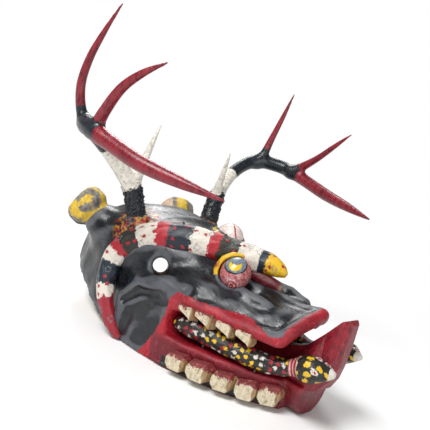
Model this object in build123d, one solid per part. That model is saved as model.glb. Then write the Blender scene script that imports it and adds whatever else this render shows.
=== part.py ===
from build123d import *
import os

# A carved and painted wooden animal mask with real antlers, snakes, a tongue and teeth let in.
# It lies on its back rim: z = 0 is the plane of the rim, +Z points out of the face, +Y to the
# crown, -Y to the chin, and -X is the wearer's right. Millimetres.

os.makedirs("parts", exist_ok=True)

# driving dimensions
HEAD_FRONT = -149  # the upper lip
CROWN_END = 160
RIM_RISE_START = 45  # the rim leaves the table here, towards the crown
RIM_RISE_SLOPE = 0.42
MOUTH_BACK = -38
MOUTH_FLOOR = 31
MOUTH_ROOF_BACK = 60
MOUTH_ROOF_FRONT = 75
BEAM_R = 10  # the antler above its burr
TENON_R = 7
TENON_DEEP = 15
EYE_R = 17
EYE_HOLE_R = 8
EYE_VALLEY_R = 14  # the hollow under the brow that each eye hole opens into
MOUTH_SNAKE_R = 9.5
NAIL_R = 1.2
PEG_R = 4

# the head's outside: (y, half width low down, half width high up, height)
HEAD = [
    (CROWN_END, 38, 38, 86), (145, 58, 58, 105), (120, 70, 70, 121), (85, 79, 78, 131),
    (45, 84, 83, 129), (0, 90, 87, 117), (-40, 88, 85, 107), (-75, 77, 77, 101),
    (-110, 62, 64, 100), (-138, 38, 55, 102), (HEAD_FRONT, 24, 49, 101),
]
# the hollow for the wearer's face, and the shallow one behind the jaw
HOLLOW = [
    (143, 42, 38, 84), (115, 56, 48, 100), (75, 66, 52, 108), (35, 71, 58, 104),
    (5, 74, 62, 92), (-12, 73, 58, 68), (-26, 69, 52, 36), (-44, 63, 48, 18),
    (-80, 53, 40, 15), (-116, 32, 24, 13),
]
# the right antler's beam, which the left one mirrors: its line and radii
BEAM = [
    ((-57, 64, 106), 10.5), ((-61, 67, 122), BEAM_R), ((-71, 74, 148), 9.5), ((-89, 83, 169), 8.6),
    ((-116, 88, 190), 8), ((-142, 83, 204), 8.5), ((-160, 60, 206), 8), ((-166, 36, 203), 8),
    ((-164, 12, 198), 7.4), ((-159, -24, 191), 6.4), ((-147, -64, 187), 4.2), ((-131, -103, 184), 1.2),
]
# each antler's own tines, as they grew: the brow tine, then the two on the beam
TINES = {
    -1: [
        [((-69, 74, 148), 6.5), ((-66, 73, 170), 4.8), ((-64, 70, 195), 3.2), ((-61, 66, 220), 1)],
        [((-143, 83, 203), 6.5), ((-149, 88, 217), 4.9), ((-154, 92, 240), 4.2), ((-155, 88, 265), 3.6),
         ((-154, 79, 290), 2.7), ((-151, 66, 320), 1)],
        [((-163, 42, 204), 6.5), ((-166, 33, 222), 4.9), ((-167, 16, 248), 4.1), ((-163, -2, 266), 3),
         ((-157, -22, 280), 1)],
    ],
    1: [
        [((69, 74, 148), 6.5), ((66, 71, 164), 4.6), ((63, 67, 186), 3), ((60, 63, 208), 1)],
        [((143, 83, 203), 6.5), ((146, 79, 216), 4.9), ((150, 76, 238), 3.9), ((152, 70, 270), 2.7),
         ((151, 63, 301), 1)],
        [((163, 42, 204), 6.5), ((165, 25, 217), 4.9), ((164, 6, 233), 3.9), ((162, -13, 253), 2.8),
         ((159, -31, 271), 1)],
    ],
}
# the snake over the brow, from its tail on the right cheek to its head over the nose
BROW_SNAKE = [
    ((-92, 20, 8), 4), ((-96, 32, 22), 7), ((-96, 45, 42), 9), ((-90, 54, 64), 11),
    ((-82, 53, 83), 13), ((-71, 43, 98), 15), ((-60, 27, 108), 17), ((-49, 6, 114), 18),
    ((-37, -14, 117), 17), ((-25, -33, 118), 15), ((-13, -52, 118), 13), ((-4, -70, 119), 10),
    ((1, -84, 119), 8.5), ((3, -96, 117), 4),
]
RIGHT_MOUTH_SNAKE = [
    ((-71, -42, 41.5), 5), ((-69, -54, 42), 8), ((-64, -75, 42), MOUTH_SNAKE_R),
    ((-56, -100, 42), MOUTH_SNAKE_R), ((-46, -128, 42), MOUTH_SNAKE_R), ((-38, -146, 44), 8.5),
    ((-33, -158, 48), 7.5), ((-31, -168, 52), 11), ((-29, -178, 56), 11.5), ((-26, -188, 59), 7),
    ((-24, -195, 60), 3),
]
# the left one is bent a little differently, and its head lies higher on the tongue
LEFT_MOUTH_SNAKE = [
    ((71, -42, 41.5), 5), ((69, -54, 42), 8), ((64, -75, 42), MOUTH_SNAKE_R),
    ((56, -100, 42), MOUTH_SNAKE_R), ((46, -126, 43), MOUTH_SNAKE_R), ((38, -144, 49), 8.5),
    ((33, -156, 56), 7.5), ((31, -166, 61), 11), ((29, -176, 65), 11.5), ((26, -186, 67), 7),
    ((24, -192, 68), 3),
]
# the tongue: (y, half width below, at the edge, on the crest, then the three heights)
TONGUE = [
    (-56, 14, 17, 8, 33, 39, 45), (-135, 20, 24, 9, 32, 40, 57), (-160, 19, 24, 8, 32, 39, 75),
    (-178, 11, 15, 7, 35, 45, 97), (-188, 3, 6, 6, 52, 66, 98),
]
RIGHT_EYE = (-38, -62, 107)
LEFT_EYE = (37, 10, 118)  # the maker set this one further up, past the snake
LOWER_LIP_Y = -149
WIDE = 240  # wider than the head, for cuts that go right across
TOOTH_WIDE = 19
TOOTH_DEEP = 9
STRIP_TALL = 7
LOWER_TEETH = [(-84, -68), (-77, -91), (-66, -112), (-53, -131), (-37, -147)]
LOWER_TOOTH_Z = 15
UPPER_TOOTH_Z = 63
# the snout is cut back on its left, so the two upper rows differ
UPPER_TEETH = {
    -1: [(-76, -58), (-72, -78), (-65, -98), (-57, -117)],
    1: [(75, -50), (65, -67), (53, -84), (40, -101)],
}
SNOUT_CUT_AT = (20, -146)  # the left of the upper lip is cut back from here
SNOUT_CUT_ANGLE = -37
SCALLOP = [(36, 102, 48), (90, 152, 29)]  # the line of the scallop in the crown's left rim
SCALLOP_R = 13


def mirror_points(line):
    return [((-x, y, z), r) for (x, y, z), r in line]


def arched_section(y, low, high, top):
    """A closed D-shaped outline across the head, flat along the rim."""
    half = [(-low, 0), (-low * 1.01, top * 0.3), (-high * 0.97, top * 0.68), (-high * 0.6, top * 0.94)]
    line = Spline(half + [(0, top)] + [(-x, z) for x, z in reversed(half)])
    return Plane.XZ.offset(-y) * make_face([line, Line(line @ 1, line @ 0)])


def arched_body(stations):
    return loft([arched_section(*s) for s in stations])


def limb(line):
    """A tapering round limb along a smooth line of (point, radius)."""
    path = Spline([p for p, r in line])
    rings = []
    for p, r in line:
        along = path.tangent_at(path.param_at_point(Vector(*p)))
        rings.append(Plane(origin=p, z_dir=along) * Circle(r))
    return loft(rings, ruled=True)


def rod(start, end, radius):
    """A round peg or nail from one point to another."""
    a, b = Vector(*start), Vector(*end)
    return Plane(origin=a, z_dir=b - a) * Cylinder(
        radius, (b - a).length, align=(Align.CENTER, Align.CENTER, Align.MIN)
    )


def antler(side):
    """The beam with its burr, its tenon and three tines, as one piece of antler."""
    beam = BEAM if side < 0 else mirror_points(BEAM)
    base, above = Vector(*beam[0][0]), Vector(*beam[1][0])
    along = (above - base).normalized()
    body = limb(beam)
    for tine in TINES[side]:
        body = body + limb(tine)
    burr = rod(base + along * 10, base + along * 17, BEAM_R + 4)
    tenon = rod(base - along * TENON_DEEP, base + along * 4, TENON_R)
    return body + burr + tenon


def antler_peg(side):
    """The wooden pin across the antler's tenon, just under the skull's surface."""
    return rod((side * 55, 50, 98), (side * 55, 77, 98), PEG_R / 2)


def ear(side):
    """A stubby round ear of its own wood, flat across its end, on a neck set into the skull."""
    neck = rod((side * 61, 113, 96), (side * 72, 131, 107), 17)
    knob = fillet(rod((side * 68, 125, 103), (side * 80, 144, 114), 23).edges(), 4)
    return neck + knob


def eyeball(at):
    return Pos(*at) * Sphere(EYE_R)


def tongue():
    faces = []
    for y, below, edge, crest, z0, z1, z2 in TONGUE:
        ring = [(-below, z0), (below, z0), (edge, z1), (crest, z2), (-crest, z2), (-edge, z1)]
        faces.append(Plane.XZ.offset(-y) * make_face(Polyline(ring, close=True)))
    return loft(faces, ruled=True)


def tooth_row(places, tall, middle, strip_deep):
    """Blocks of tooth that stand on one strip, which is let into the jaw."""
    row = None
    for i, (x, y) in enumerate(places):
        before, after = places[max(i - 1, 0)], places[min(i + 1, len(places) - 1)]
        along = Vector(after[0] - before[0], after[1] - before[1], 0)
        frame = Plane(origin=(x, y, middle), x_dir=along, z_dir=(0, 0, 1))
        block = frame * Box(TOOTH_WIDE, TOOTH_DEEP, tall)
        row = block if row is None else row + block
        if i:
            a, b = Vector(*before, middle), Vector(x, y, middle)
            frame = Plane(origin=(a + b) / 2, x_dir=b - a, z_dir=(0, 0, 1))
            row = row + frame * Box((b - a).length, strip_deep, STRIP_TALL)
    return row


def mouth_opening():
    front = HEAD_FRONT - 30
    side = Polyline(
        [
            (MOUTH_BACK, MOUTH_FLOOR), (MOUTH_BACK, MOUTH_ROOF_BACK),
            (front, MOUTH_ROOF_FRONT + 3), (front, MOUTH_FLOOR),
        ],
        close=True,
    )
    return Pos(-WIDE / 2, 0, 0) * extrude(Plane.YZ * make_face(side), WIDE)


def rim_rise():
    """The wedge that is missing behind the crown, where the mask sits back on the forehead."""
    end = CROWN_END + 20
    side = Polyline(
        [(RIM_RISE_START, 0), (end, (end - RIM_RISE_START) * RIM_RISE_SLOPE), (end, -5),
         (RIM_RISE_START, -5)],
        close=True,
    )
    return Pos(-WIDE / 2, 0, 0) * extrude(Plane.YZ * make_face(side), WIDE)


def snout_cut():
    """The slice off the left of the snout, above the lower jaw."""
    slab = Box(80, 220, 90, align=(Align.MIN, Align.CENTER, Align.MIN))
    return Pos(*SNOUT_CUT_AT, (MOUTH_FLOOR + MOUTH_ROOF_BACK) / 2) * Rot(0, 0, SNOUT_CUT_ANGLE) * slab


def head_shell():
    """The skull and both jaws, hollowed behind, carved from one log."""
    lower_lip = Pos(0, LOWER_LIP_Y, 0) * extrude(Ellipse(27, 19), MOUTH_FLOOR)
    head = arched_body(HEAD) + lower_lip
    head = head - arched_body(HOLLOW) - rim_rise() - mouth_opening()
    head = head - snout_cut() - rod(*SCALLOP, SCALLOP_R)
    for side in (-1, 1):
        head = head - rod((side * 100, 24, 95), (side * 58, -32, 99), EYE_VALLEY_R)
        head = head - rod((side * 36, 34, 72), (side * 84, -5, 98), EYE_HOLE_R)
        nostril = Plane(origin=(side * 24, -92, 104), z_dir=(side * 0.4, 0, 1)) * Ellipse(9, 19)
        head = head - extrude(nostril, -17)
    return head


def nails(places):
    """Wire nails as one node: each from its head down to its point."""
    return [rod(a, b, NAIL_R) for a, b in places]


pieces = {}
pegs = {"antler_pegs": [], "ear_pegs": []}
for name, side in (("right", -1), ("left", 1)):
    pieces[f"{name}_antler"] = antler(side)
    pieces[f"{name}_ear"] = ear(side)
    pegs["antler_pegs"].append(antler_peg(side))
    pegs["ear_pegs"].append(rod((side * 57.5, 107, 92.5), (side * 72, 132, 107.5), PEG_R))
pieces["right_eyeball"] = eyeball(RIGHT_EYE)
pieces["left_eyeball"] = eyeball(LEFT_EYE)
pieces["tongue"] = tongue()
for name, side in (("right", -1), ("left", 1)):
    lower = [(-side * x, y) for x, y in LOWER_TEETH]
    pieces[f"{name}_lower_teeth"] = tooth_row(lower, 19, LOWER_TOOTH_Z, 8)
    pieces[f"{name}_upper_teeth"] = tooth_row(UPPER_TEETH[side], 17, UPPER_TOOTH_Z, 6)
brow = limb(BROW_SNAKE)
for near in ("right_antler", "right_eyeball"):
    brow = brow - pieces[near]
pieces["brow_snake"] = brow
pieces["right_mouth_snake"] = limb(RIGHT_MOUTH_SNAKE) - pieces["tongue"]
pieces["left_mouth_snake"] = limb(LEFT_MOUTH_SNAKE) - pieces["tongue"]

head = head_shell()
for piece in pieces.values():
    head = head - piece

pegs["brow_snake_nails"] = nails([
    ((-72, 42, 115), (-66, 41, 84)), ((-50, 6, 134), (-46, 8, 88)), ((-25, -33, 135), (-23, -32, 84)),
])
pegs["mouth_snake_nails"] = nails([
    ((side * x, y, 52), (side * x, y, 16)) for side in (-1, 1) for x, y in ((64, -75), (46, -128))
])
pegs["tongue_pegs"] = [rod((0, y, 44), (0, y, 18), PEG_R) for y in (-75, -125)]

for name, solids in pegs.items():
    for solid in solids:
        head = head - solid
        for other in pieces:
            if pieces[other].bounding_box().overlaps(solid.bounding_box()):
                pieces[other] = pieces[other] - solid
    pieces[name] = Compound(solids)
pieces["head_shell"] = head

# the origin goes below the middle of the whole mask, on the plane of the back rim
boxes = [shape.bounding_box() for shape in pieces.values()]
middle = (min(b.min.Y for b in boxes) + max(b.max.Y for b in boxes)) / 2
for name, shape in pieces.items():
    export_step(Pos(0, -middle, 0) * shape, f"parts/{name}.step")
print("crown end at y =", round(CROWN_END - middle, 2))
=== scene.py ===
import math

import bmesh
import bpy
import numpy as np
from mathutils import Matrix, Vector


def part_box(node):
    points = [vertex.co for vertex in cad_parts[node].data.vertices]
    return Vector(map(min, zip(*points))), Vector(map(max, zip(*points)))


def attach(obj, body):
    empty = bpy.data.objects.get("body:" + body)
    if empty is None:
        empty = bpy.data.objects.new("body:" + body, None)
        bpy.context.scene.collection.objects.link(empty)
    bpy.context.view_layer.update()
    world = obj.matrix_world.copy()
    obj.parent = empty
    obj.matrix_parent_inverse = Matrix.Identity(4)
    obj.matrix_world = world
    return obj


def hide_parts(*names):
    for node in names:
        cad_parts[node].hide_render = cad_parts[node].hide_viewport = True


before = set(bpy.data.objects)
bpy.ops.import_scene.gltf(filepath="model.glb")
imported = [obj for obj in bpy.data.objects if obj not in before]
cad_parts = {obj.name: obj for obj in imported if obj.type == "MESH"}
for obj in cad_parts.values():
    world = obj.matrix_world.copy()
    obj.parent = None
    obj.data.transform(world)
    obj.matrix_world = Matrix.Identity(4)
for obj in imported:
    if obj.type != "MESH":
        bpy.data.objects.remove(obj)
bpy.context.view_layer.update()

# The carver's own layout: millimetres, z = 0 on the back rim, +Z out of the face, -Y to the chin,
# -X to the wearer's right. The crown ends at y = 160, which places it in the frame.
CROWN_END = 160
MM = 0.001
LAYOUT_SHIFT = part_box("head_shell")[1][1] * 1000 - CROWN_END


def metres(points):
    """Carver's millimetres to the frame's metres."""
    return (np.asarray(points, float) + (0, LAYOUT_SHIFT, 0)) / 1000


# ---------------------------------------------------------------- studio
# A white sweep with two large soft lamps and a weak one behind, and a normal lens at table height,
# rolled a little, that looks at the wearer's right side from in front.
LENS = 53
CAMERA_AT = (-534, -428, 253)
CAMERA_RIGHT = Vector((0.642, -0.714, 0.280))
CAMERA_BACK = Vector((-0.764, -0.626, 0.157))
back = CAMERA_BACK.normalized()
right = (CAMERA_RIGHT - back * CAMERA_RIGHT.dot(back)).normalized()
up = back.cross(right)
camera = bpy.data.objects.new("camera", bpy.data.cameras.new("camera"))
camera.data.lens = LENS
camera.data.clip_start = 0.05
turn = Matrix((right, up, back)).transposed().to_4x4()
camera.matrix_world = Matrix.Translation(Vector(metres(CAMERA_AT))) @ turn
bpy.context.scene.collection.objects.link(camera)
bpy.context.scene.camera = camera


def linear(hex_colour):
    """An sRGB hex colour as the linear RGBA that a shader socket wants."""
    parts = [int(hex_colour[i:i + 2], 16) / 255 for i in (1, 3, 5)]
    return [c / 12.92 if c <= 0.04045 else ((c + 0.055) / 1.055) ** 2.4 for c in parts] + [1.0]


def node(tree, kind, settings=None, **links):
    """Adds a node: settings are its attributes, links are values, hex colours, sockets or nodes.

    A link is named for its socket, or for its number after an i. A node gives its first output.
    """
    n = tree.nodes.new(kind)
    for key, value in (settings or {}).items():
        setattr(n, key, value)
    for key, value in links.items():
        key = int(key[1:]) if key[0] == "i" and key[1:].isdigit() else key.replace("_", " ")
        if isinstance(value, str) and value[0] == "#":
            value = linear(value)
        if isinstance(value, bpy.types.Node):
            value = value.outputs[0]
        if isinstance(value, bpy.types.NodeSocket):
            tree.links.new(value, n.inputs[key])
        else:
            n.inputs[key].default_value = value
    return n


def lamp(name, at, aim, size, watts):
    light = bpy.data.lights.new(name, "AREA")
    light.shape, light.size, light.energy = "DISK", size, watts
    o = bpy.data.objects.new(name, light)
    facing = (Vector(at) - Vector(aim)).to_track_quat("Z", "Y").to_matrix().to_4x4()
    o.matrix_world = Matrix.Translation(Vector(at)) @ facing
    bpy.context.scene.collection.objects.link(o)


lamp("key_lamp", (-1.1, 0.1, 1.5), (0, 0, 0.1), 0.8, 30)
lamp("fill_lamp", (-0.7, -1.7, 0.6), (0, 0, 0.08), 1.0, 9)
lamp("back_lamp", (0.9, 1.1, 1.2), (0, 0, 0.1), 0.8, 14)
world = bpy.data.worlds.new("white_room")
world.use_nodes = True
room = world.node_tree
seen = node(room, "ShaderNodeBackground", Color=(1, 1, 1, 1), Strength=1.0).outputs[0]
lit_by = node(room, "ShaderNodeBackground", Color=(1, 1, 1, 1), Strength=0.3).outputs[0]
direct = node(room, "ShaderNodeLightPath").outputs["Is Camera Ray"]
both_rays = node(room, "ShaderNodeMixShader", i0=direct, i1=lit_by, i2=seen).outputs[0]
room.links.new(both_rays, room.nodes["World Output"].inputs["Surface"])
bpy.context.scene.world = world
bpy.context.scene.view_settings.view_transform = "Standard"

# the paper glows gently away from the mask, as a lit sweep does, so that it has no horizon
PAPER_SIZE, GLOW_STARTS, GLOW_FULL = 40, 0.24, 0.75
bpy.ops.mesh.primitive_plane_add(size=PAPER_SIZE, location=(0, 0, -0.5 * MM))
floor = bpy.context.object
floor.name = "floor"
paper = bpy.data.materials.new("white_paper")
paper.use_nodes = True
t = paper.node_tree
matt = t.nodes["Principled BSDF"]
matt.inputs["Base Color"].default_value = linear("#f7f7f7")
matt.inputs["Roughness"].default_value = 0.9
spot = node(t, "ShaderNodeTexCoord").outputs["Object"]
far = node(t, "ShaderNodeVectorMath", {"operation": "LENGTH"}, i0=spot).outputs["Value"]
far = node(
    t, "ShaderNodeMapRange", {"interpolation_type": "SMOOTHSTEP"}, i0=far, i1=GLOW_STARTS, i2=GLOW_FULL,
)
glow = node(t, "ShaderNodeEmission", Color=(1, 1, 1, 1), Strength=1.0)
blend = node(t, "ShaderNodeMixShader", i0=far, i1=matt, i2=glow).outputs[0]
t.links.new(blend, t.nodes["Material Output"].inputs["Surface"])
floor.data.materials.append(paper)

# ---------------------------------------------------------------- head_shell
# Skull, snout and both jaws, knife-carved from one log of light softwood and hollowed from behind,
# then brushed with black oil enamel, red round the mouth; the rim and the inside are bare wood.
GRID_STEP = 1.8  # the finer chisel marks are left to the paint's relief
OPEN_AIR = 60.0  # what the field holds far from any wood


class Block:
    """A block of wood as a field of distances on a grid, negative inside the wood."""

    def __init__(self, low, high, step):
        self.step = step
        self.low = np.array(low, float) - 3 * step
        self.axes = [np.arange(a, b + 3 * step, step) for a, b in zip(self.low, high)]
        self.d = np.full([len(a) for a in self.axes], OPEN_AIR, np.float32)

    def near(self, low, high):
        """The part of the grid inside a box: slices, and its x, y and z as open grids."""
        cut = []
        for a, lo, hi in zip(self.axes, low, high):
            cut.append(slice(int(np.searchsorted(a, lo)), int(np.searchsorted(a, hi)) + 1))
        x, y, z = (a[s].astype(np.float32) for a, s in zip(self.axes, cut))
        return tuple(cut), x[:, None, None], y[None, :, None], z[None, None, :]

    def all(self):
        return self.near(self.low - 1, [a[-1] + 1 for a in self.axes])

    def join(self, part, d, soft=0.0):
        """Adds wood, with a fillet of about the soft radius."""
        self.d[part] = blend_min(self.d[part], d, soft)

    def cut(self, part, d, soft=0.0):
        """Takes away a shape, whose field is negative inside it."""
        self.d[part] = -blend_min(-self.d[part], d, soft)

    def limb(self, points, radii, soft=0.0, cut=False):
        """Adds or cuts a round tapering limb along a line of points."""
        points = np.asarray(points, float)
        reach = max(radii) + 3 * soft + 4 * self.step
        whole = self.near(points.min(0) - reach, points.max(0) + reach)[0]
        own = np.full(self.d[whole].shape, OPEN_AIR, np.float32)
        for p, q, r, s in zip(points[:-1], points[1:], radii[:-1], radii[1:]):
            part, x, y, z = self.near(np.minimum(p, q) - reach, np.maximum(p, q) + reach)
            v = q - p
            t = ((x - p[0]) * v[0] + (y - p[1]) * v[1] + (z - p[2]) * v[2]) / max(v @ v, 1e-9)
            t = np.clip(t, 0, 1)
            off = x - p[0] - t * v[0], y - p[1] - t * v[1], z - p[2] - t * v[2]
            away = np.sqrt(off[0] ** 2 + off[1] ** 2 + off[2] ** 2)
            here = tuple(slice(a.start - w.start, a.stop - w.start) for a, w in zip(part, whole))
            own[here] = np.minimum(own[here], away - (r + t * (s - r)))
        (self.cut if cut else self.join)(whole, own, soft)

    def ball(self, centre, radii, turn=None, soft=0.0, cut=False):
        """Adds or cuts an ellipsoid; turn is a rotation of its axes."""
        radii = np.asarray(radii, float)
        reach = radii.max() + 3 * soft + 4 * self.step
        part, x, y, z = self.near(np.asarray(centre) - reach, np.asarray(centre) + reach)
        x, y, z = x - centre[0], y - centre[1], z - centre[2]
        m = np.eye(3) if turn is None else np.array(turn.to_matrix()).T
        u = [(m[i, 0] * x + m[i, 1] * y + m[i, 2] * z) / radii[i] for i in range(3)]
        k = np.sqrt(u[0] ** 2 + u[1] ** 2 + u[2] ** 2)
        g = np.sqrt((u[0] / radii[0]) ** 2 + (u[1] / radii[1]) ** 2 + (u[2] / radii[2]) ** 2)
        (self.cut if cut else self.join)(part, k * (k - 1) / np.maximum(g, 1e-6), soft)

    def mesh(self, name):
        """The skin of the wood as a closed mesh of quads, and its points in carver's millimetres."""
        d, n = self.d, np.array(self.d.shape)
        inside = d < 0
        place = np.zeros((*(n - 1), 3), np.float32)
        count = np.zeros(n - 1, np.float32)
        corner = lambda i, j, k: tuple(slice(o, m - 1 + o) for o, m in zip((i, j, k), n))
        for axis in range(3):
            for a in (0, 1):
                for b in (0, 1):
                    lo = [a, b]
                    lo.insert(axis, 0)
                    hi = list(lo)
                    hi[axis] = 1
                    f, g = d[corner(*lo)], d[corner(*hi)]
                    hit = (f < 0) != (g < 0)
                    t = f[hit] / (f[hit] - g[hit])
                    spot = np.repeat(np.array([lo], np.float32), len(t), 0)
                    spot[:, axis] += t
                    place[hit] += spot
                    count[hit] += 1
        used = count > 0
        number = np.full(count.shape, -1, np.int32)
        number[used] = np.arange(used.sum())
        index = np.argwhere(used)
        verts = (index + place[used] / count[used][:, None]) * self.step + self.low
        quads = []
        for axis in range(3):
            u, v = [i for i in range(3) if i != axis]
            lo = [slice(1, m - 1) for m in n]
            lo[axis] = slice(0, n[axis] - 1)
            hi = list(lo)
            hi[axis] = slice(1, n[axis])
            f, g = inside[tuple(lo)], inside[tuple(hi)]
            for flip, hit in ((False, f & ~g), (True, ~f & g)):
                at = np.argwhere(hit) + [0 if i == axis else 1 for i in range(3)]
                ring = []
                for du, dv in ((0, 0), (-1, 0), (-1, -1), (0, -1)):
                    c = at.copy()
                    c[:, u] += du
                    c[:, v] += dv
                    ring.append(number[c[:, 0], c[:, 1], c[:, 2]])
                if flip != (axis == 1):
                    ring.reverse()
                quads.append(np.stack(ring, 1))
        mesh = bpy.data.meshes.new(name)
        mesh_from_arrays(mesh, verts, np.concatenate(quads))
        return mesh, verts


def blend_min(a, b, soft):
    """The lower of two fields, with a fillet where they meet."""
    if soft <= 0:
        return np.minimum(a, b)
    h = np.maximum(soft - np.abs(a - b), 0) / soft
    return np.minimum(a, b) - h * h * soft * 0.25


def mesh_from_arrays(mesh, verts, faces):
    """Fills a mesh from carver's millimetres and an array of quads, smooth shaded."""
    mesh.vertices.add(len(verts))
    mesh.vertices.foreach_set("co", metres(verts).astype(np.float32).ravel())
    mesh.loops.add(faces.size)
    mesh.loops.foreach_set("vertex_index", faces.astype(np.int32).ravel())
    mesh.polygons.add(len(faces))
    mesh.polygons.foreach_set("loop_start", np.arange(len(faces), dtype=np.int32) * faces.shape[1])
    mesh.polygons.foreach_set("loop_total", np.full(len(faces), faces.shape[1], np.int32))
    mesh.update(calc_edges=True)
    mesh.validate()
    mesh.polygons.foreach_set("use_smooth", np.ones(len(mesh.polygons), bool))


def piece(name, mesh, material, slot, *stands_for):
    """Puts a finished mesh in the scene as a named piece of the mask."""
    o = bpy.data.objects.new(name, mesh)
    bpy.context.scene.collection.objects.link(o)
    mesh.materials.clear()
    mesh.materials.append(material)
    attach(o, "root")
    if stands_for:
        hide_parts(*stands_for)
    return o


def mark(mesh, name, values):
    """Stores a number for each point of a mesh, for its paint to follow."""
    mesh.attributes.new(name, "FLOAT", "POINT").data.foreach_set("value", np.asarray(values, np.float32))


def smooth_line(points, radii, spacing):
    """A smooth curve through given points, with its radius, at even spacing along it."""
    p = np.column_stack([np.asarray(points, float), np.asarray(radii, float)])
    p = np.vstack([2 * p[0] - p[1], p, 2 * p[-1] - p[-2]])
    out = []
    for a, b, c, d in zip(p[:-3], p[1:-2], p[2:-1], p[3:]):
        steps = max(2, int(np.linalg.norm(c[:3] - b[:3]) / spacing))
        t = (np.arange(steps) / steps)[:, None]
        bend = (2 * a - 5 * b + 4 * c - d) * t**2 + (3 * b - a - 3 * c + d) * t**3
        out.append(0.5 * (2 * b + (c - a) * t + bend))
    out = np.vstack([*out, p[-2][None]])
    return out[:, :3], np.maximum(out[:, 3], 0.5)


# stations along the head and its hollow: y, half width low down, half width high up, height
HEAD = np.array([
    (162, 30, 30, 78), (156, 44, 44, 94), (145, 58, 58, 106), (120, 70, 70, 121), (85, 79, 78, 131),
    (45, 84, 83, 129), (0, 90, 87, 117), (-40, 88, 85, 106), (-75, 77, 77, 98),
    (-110, 62, 64, 93), (-138, 40, 55, 93), (-152, 24, 49, 95),
], float)[::-1]
HOLLOW = np.array([
    (150, 20, 20, 60), (143, 42, 38, 84), (115, 56, 48, 100), (75, 66, 52, 108), (35, 71, 58, 104),
    (5, 74, 62, 92), (-12, 73, 58, 68), (-26, 69, 52, 36), (-44, 63, 48, 18), (-80, 53, 40, 15),
    (-116, 32, 24, 13), (-122, 10, 8, 5),
], float)[::-1]


def arched(x, y, z, stations):
    """The field of a D-section body: flat on the rim, domed above, from stations along y."""
    low, high, top = (np.interp(y, stations[:, 0], stations[:, i]).astype(np.float32) for i in (1, 2, 3))
    h = np.clip(z / top, 0, 1)
    wide = low + (high - low) * h
    level = (np.abs(x) / wide) ** 2.7 + (np.maximum(z, 0) / top) ** 5
    level = level ** (1 / 3.4)
    away = (level - 1) * np.minimum(wide, top) * 0.9
    ends = np.maximum(stations[0, 0] - y, y - stations[-1, 0])
    return np.maximum(away, ends)


head = Block((-96, -172, 0), (96, 164, 136), GRID_STEP)
whole, x, y, z = head.all()
head.d[whole] = arched(x, y, z, HEAD)


def both(side_points, side):
    """A line of points given for the wearer's right, or its mirror."""
    p = np.array(side_points, float)
    return p if side < 0 else p * (-1, 1, 1)


# the left of the snout is cut back, so the two lips differ
SNOUT_CUT_AT, SNOUT_CUT_TURN, SNOUT_CUT_OVER = (20, -146), math.radians(-37), 45
LIPS = {
    -1: [(-78, -34, 68), (-73, -62, 68), (-64, -92, 68), (-55, -122, 68), (-49, -142, 69)],
    1: [(78, -34, 68), (72, -68, 68), (59, -87, 68), (45, -106, 68), (32, -126, 69)],
}
# the raised eyelid goes round the outer and upper side of the right eye
RIGHT_EYE, LEFT_EYE = np.array((-35, -66, 104.5)), np.array((37, 10, 118))
LID_R, LID_BEHIND = 17.5, 2
LID_OUT = np.array((-0.64, 0.71, -0.28))
LID_UP = np.array((-0.06, 0.32, 0.95))
LID_BACK = np.array((0.76, 0.63, -0.16))
EYELID = [
    RIGHT_EYE + LID_R * (LID_OUT * math.cos(a) + LID_UP * math.sin(a)) + LID_BEHIND * LID_BACK
    for a in np.radians((-38, -8, 22, 52, 82, 112))
]

for side in (-1, 1):
    # the cheek swells up in an arch behind the mouth, and the wood is hollowed above it
    cheek = both([(-84, 22, 12), (-84, 24, 40), (-82, 8, 60), (-80, -18, 74), (-77, -44, 77)], side)
    head.limb(cheek, [6, 9, 10, 9, 6], 9)
    head.limb(both([(-92, 20, 42), (-91, 4, 58), (-89, -22, 66)], side), [3, 5, 2], 5, cut=True)
    brow = both([(-82, 52, 78), (-70, 40, 93), (-52, 12, 103), (-36, -18, 104), (-18, -48, 100)], side)
    head.limb(brow, [8, 11, 12, 10, 6], 10)
    valley = both([(-100, 26, 82), (-86, 4, 93), (-74, -20, 102), (-60, -44, 106), (-47, -66, 106)], side)
    head.limb(valley, [10, 13, 13, 11, 9], 8, cut=True)
    # the neck that the ear stands on, and the seat of the antler
    head.limb(both([(-52, 94, 84), (-63, 116, 97)], side), [26, 19], 12)
    head.limb(both([(-54, 62, 96), (-58, 64, 109)], side), [19, 15], 6)
    # eyelids round the ball
    if side < 0:
        head.ball((-31, -58, 98), (19, 19, 15), None, 7)
        head.limb(EYELID, [2.5, 4, 4.5, 4.5, 4, 2.5], 2)
    else:
        head.ball((37, 10, 113), (20, 20, 16), None, 7)
    # the side of the snout is hollowed under the nostril, and the nostril is cut in above
    head.limb(both([(-88, -62, 93), (-76, -104, 95), (-70, -140, 96)], side), [9, 13, 12], 10, cut=True)
    rim = both([(-36, -66, 92), (-39, -88, 91), (-34, -112, 90)], side)
    head.limb(rim, [4, 6, 4], 7)
    nostril = both([(-24, -70, 97), (-25, -88, 97), (-22, -108, 98)], side)
    head.limb(nostril, [6, 10, 5], 5, cut=True)
    # lips: a fleshy edge along the upper jaw, round to the corner of the mouth
    if side > 0:
        off_x, off_y = x - SNOUT_CUT_AT[0], y - SNOUT_CUT_AT[1]
        kept = off_x * math.cos(SNOUT_CUT_TURN) + off_y * math.sin(SNOUT_CUT_TURN)
        head.cut(whole, np.maximum(-kept, SNOUT_CUT_OVER - z), 8)
    head.limb(LIPS[side], [6, 6, 6, 6.5, 7.5], 6)
head.limb([(0, -30, 104), (0, -80, 93), (0, -120, 89), (6, -145, 93)], [8, 6, 6, 6], 9)
front_lip = [
    (-49, -144, 68), (-42, -149, 79), (-20, -152, 89), (4, -151, 94), (19, -144, 90), (27, -134, 78),
    (33, -127, 68),
]
head.limb(front_lip, [7, 7, 6.5, 6, 6, 6, 6.5], 5)

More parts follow.
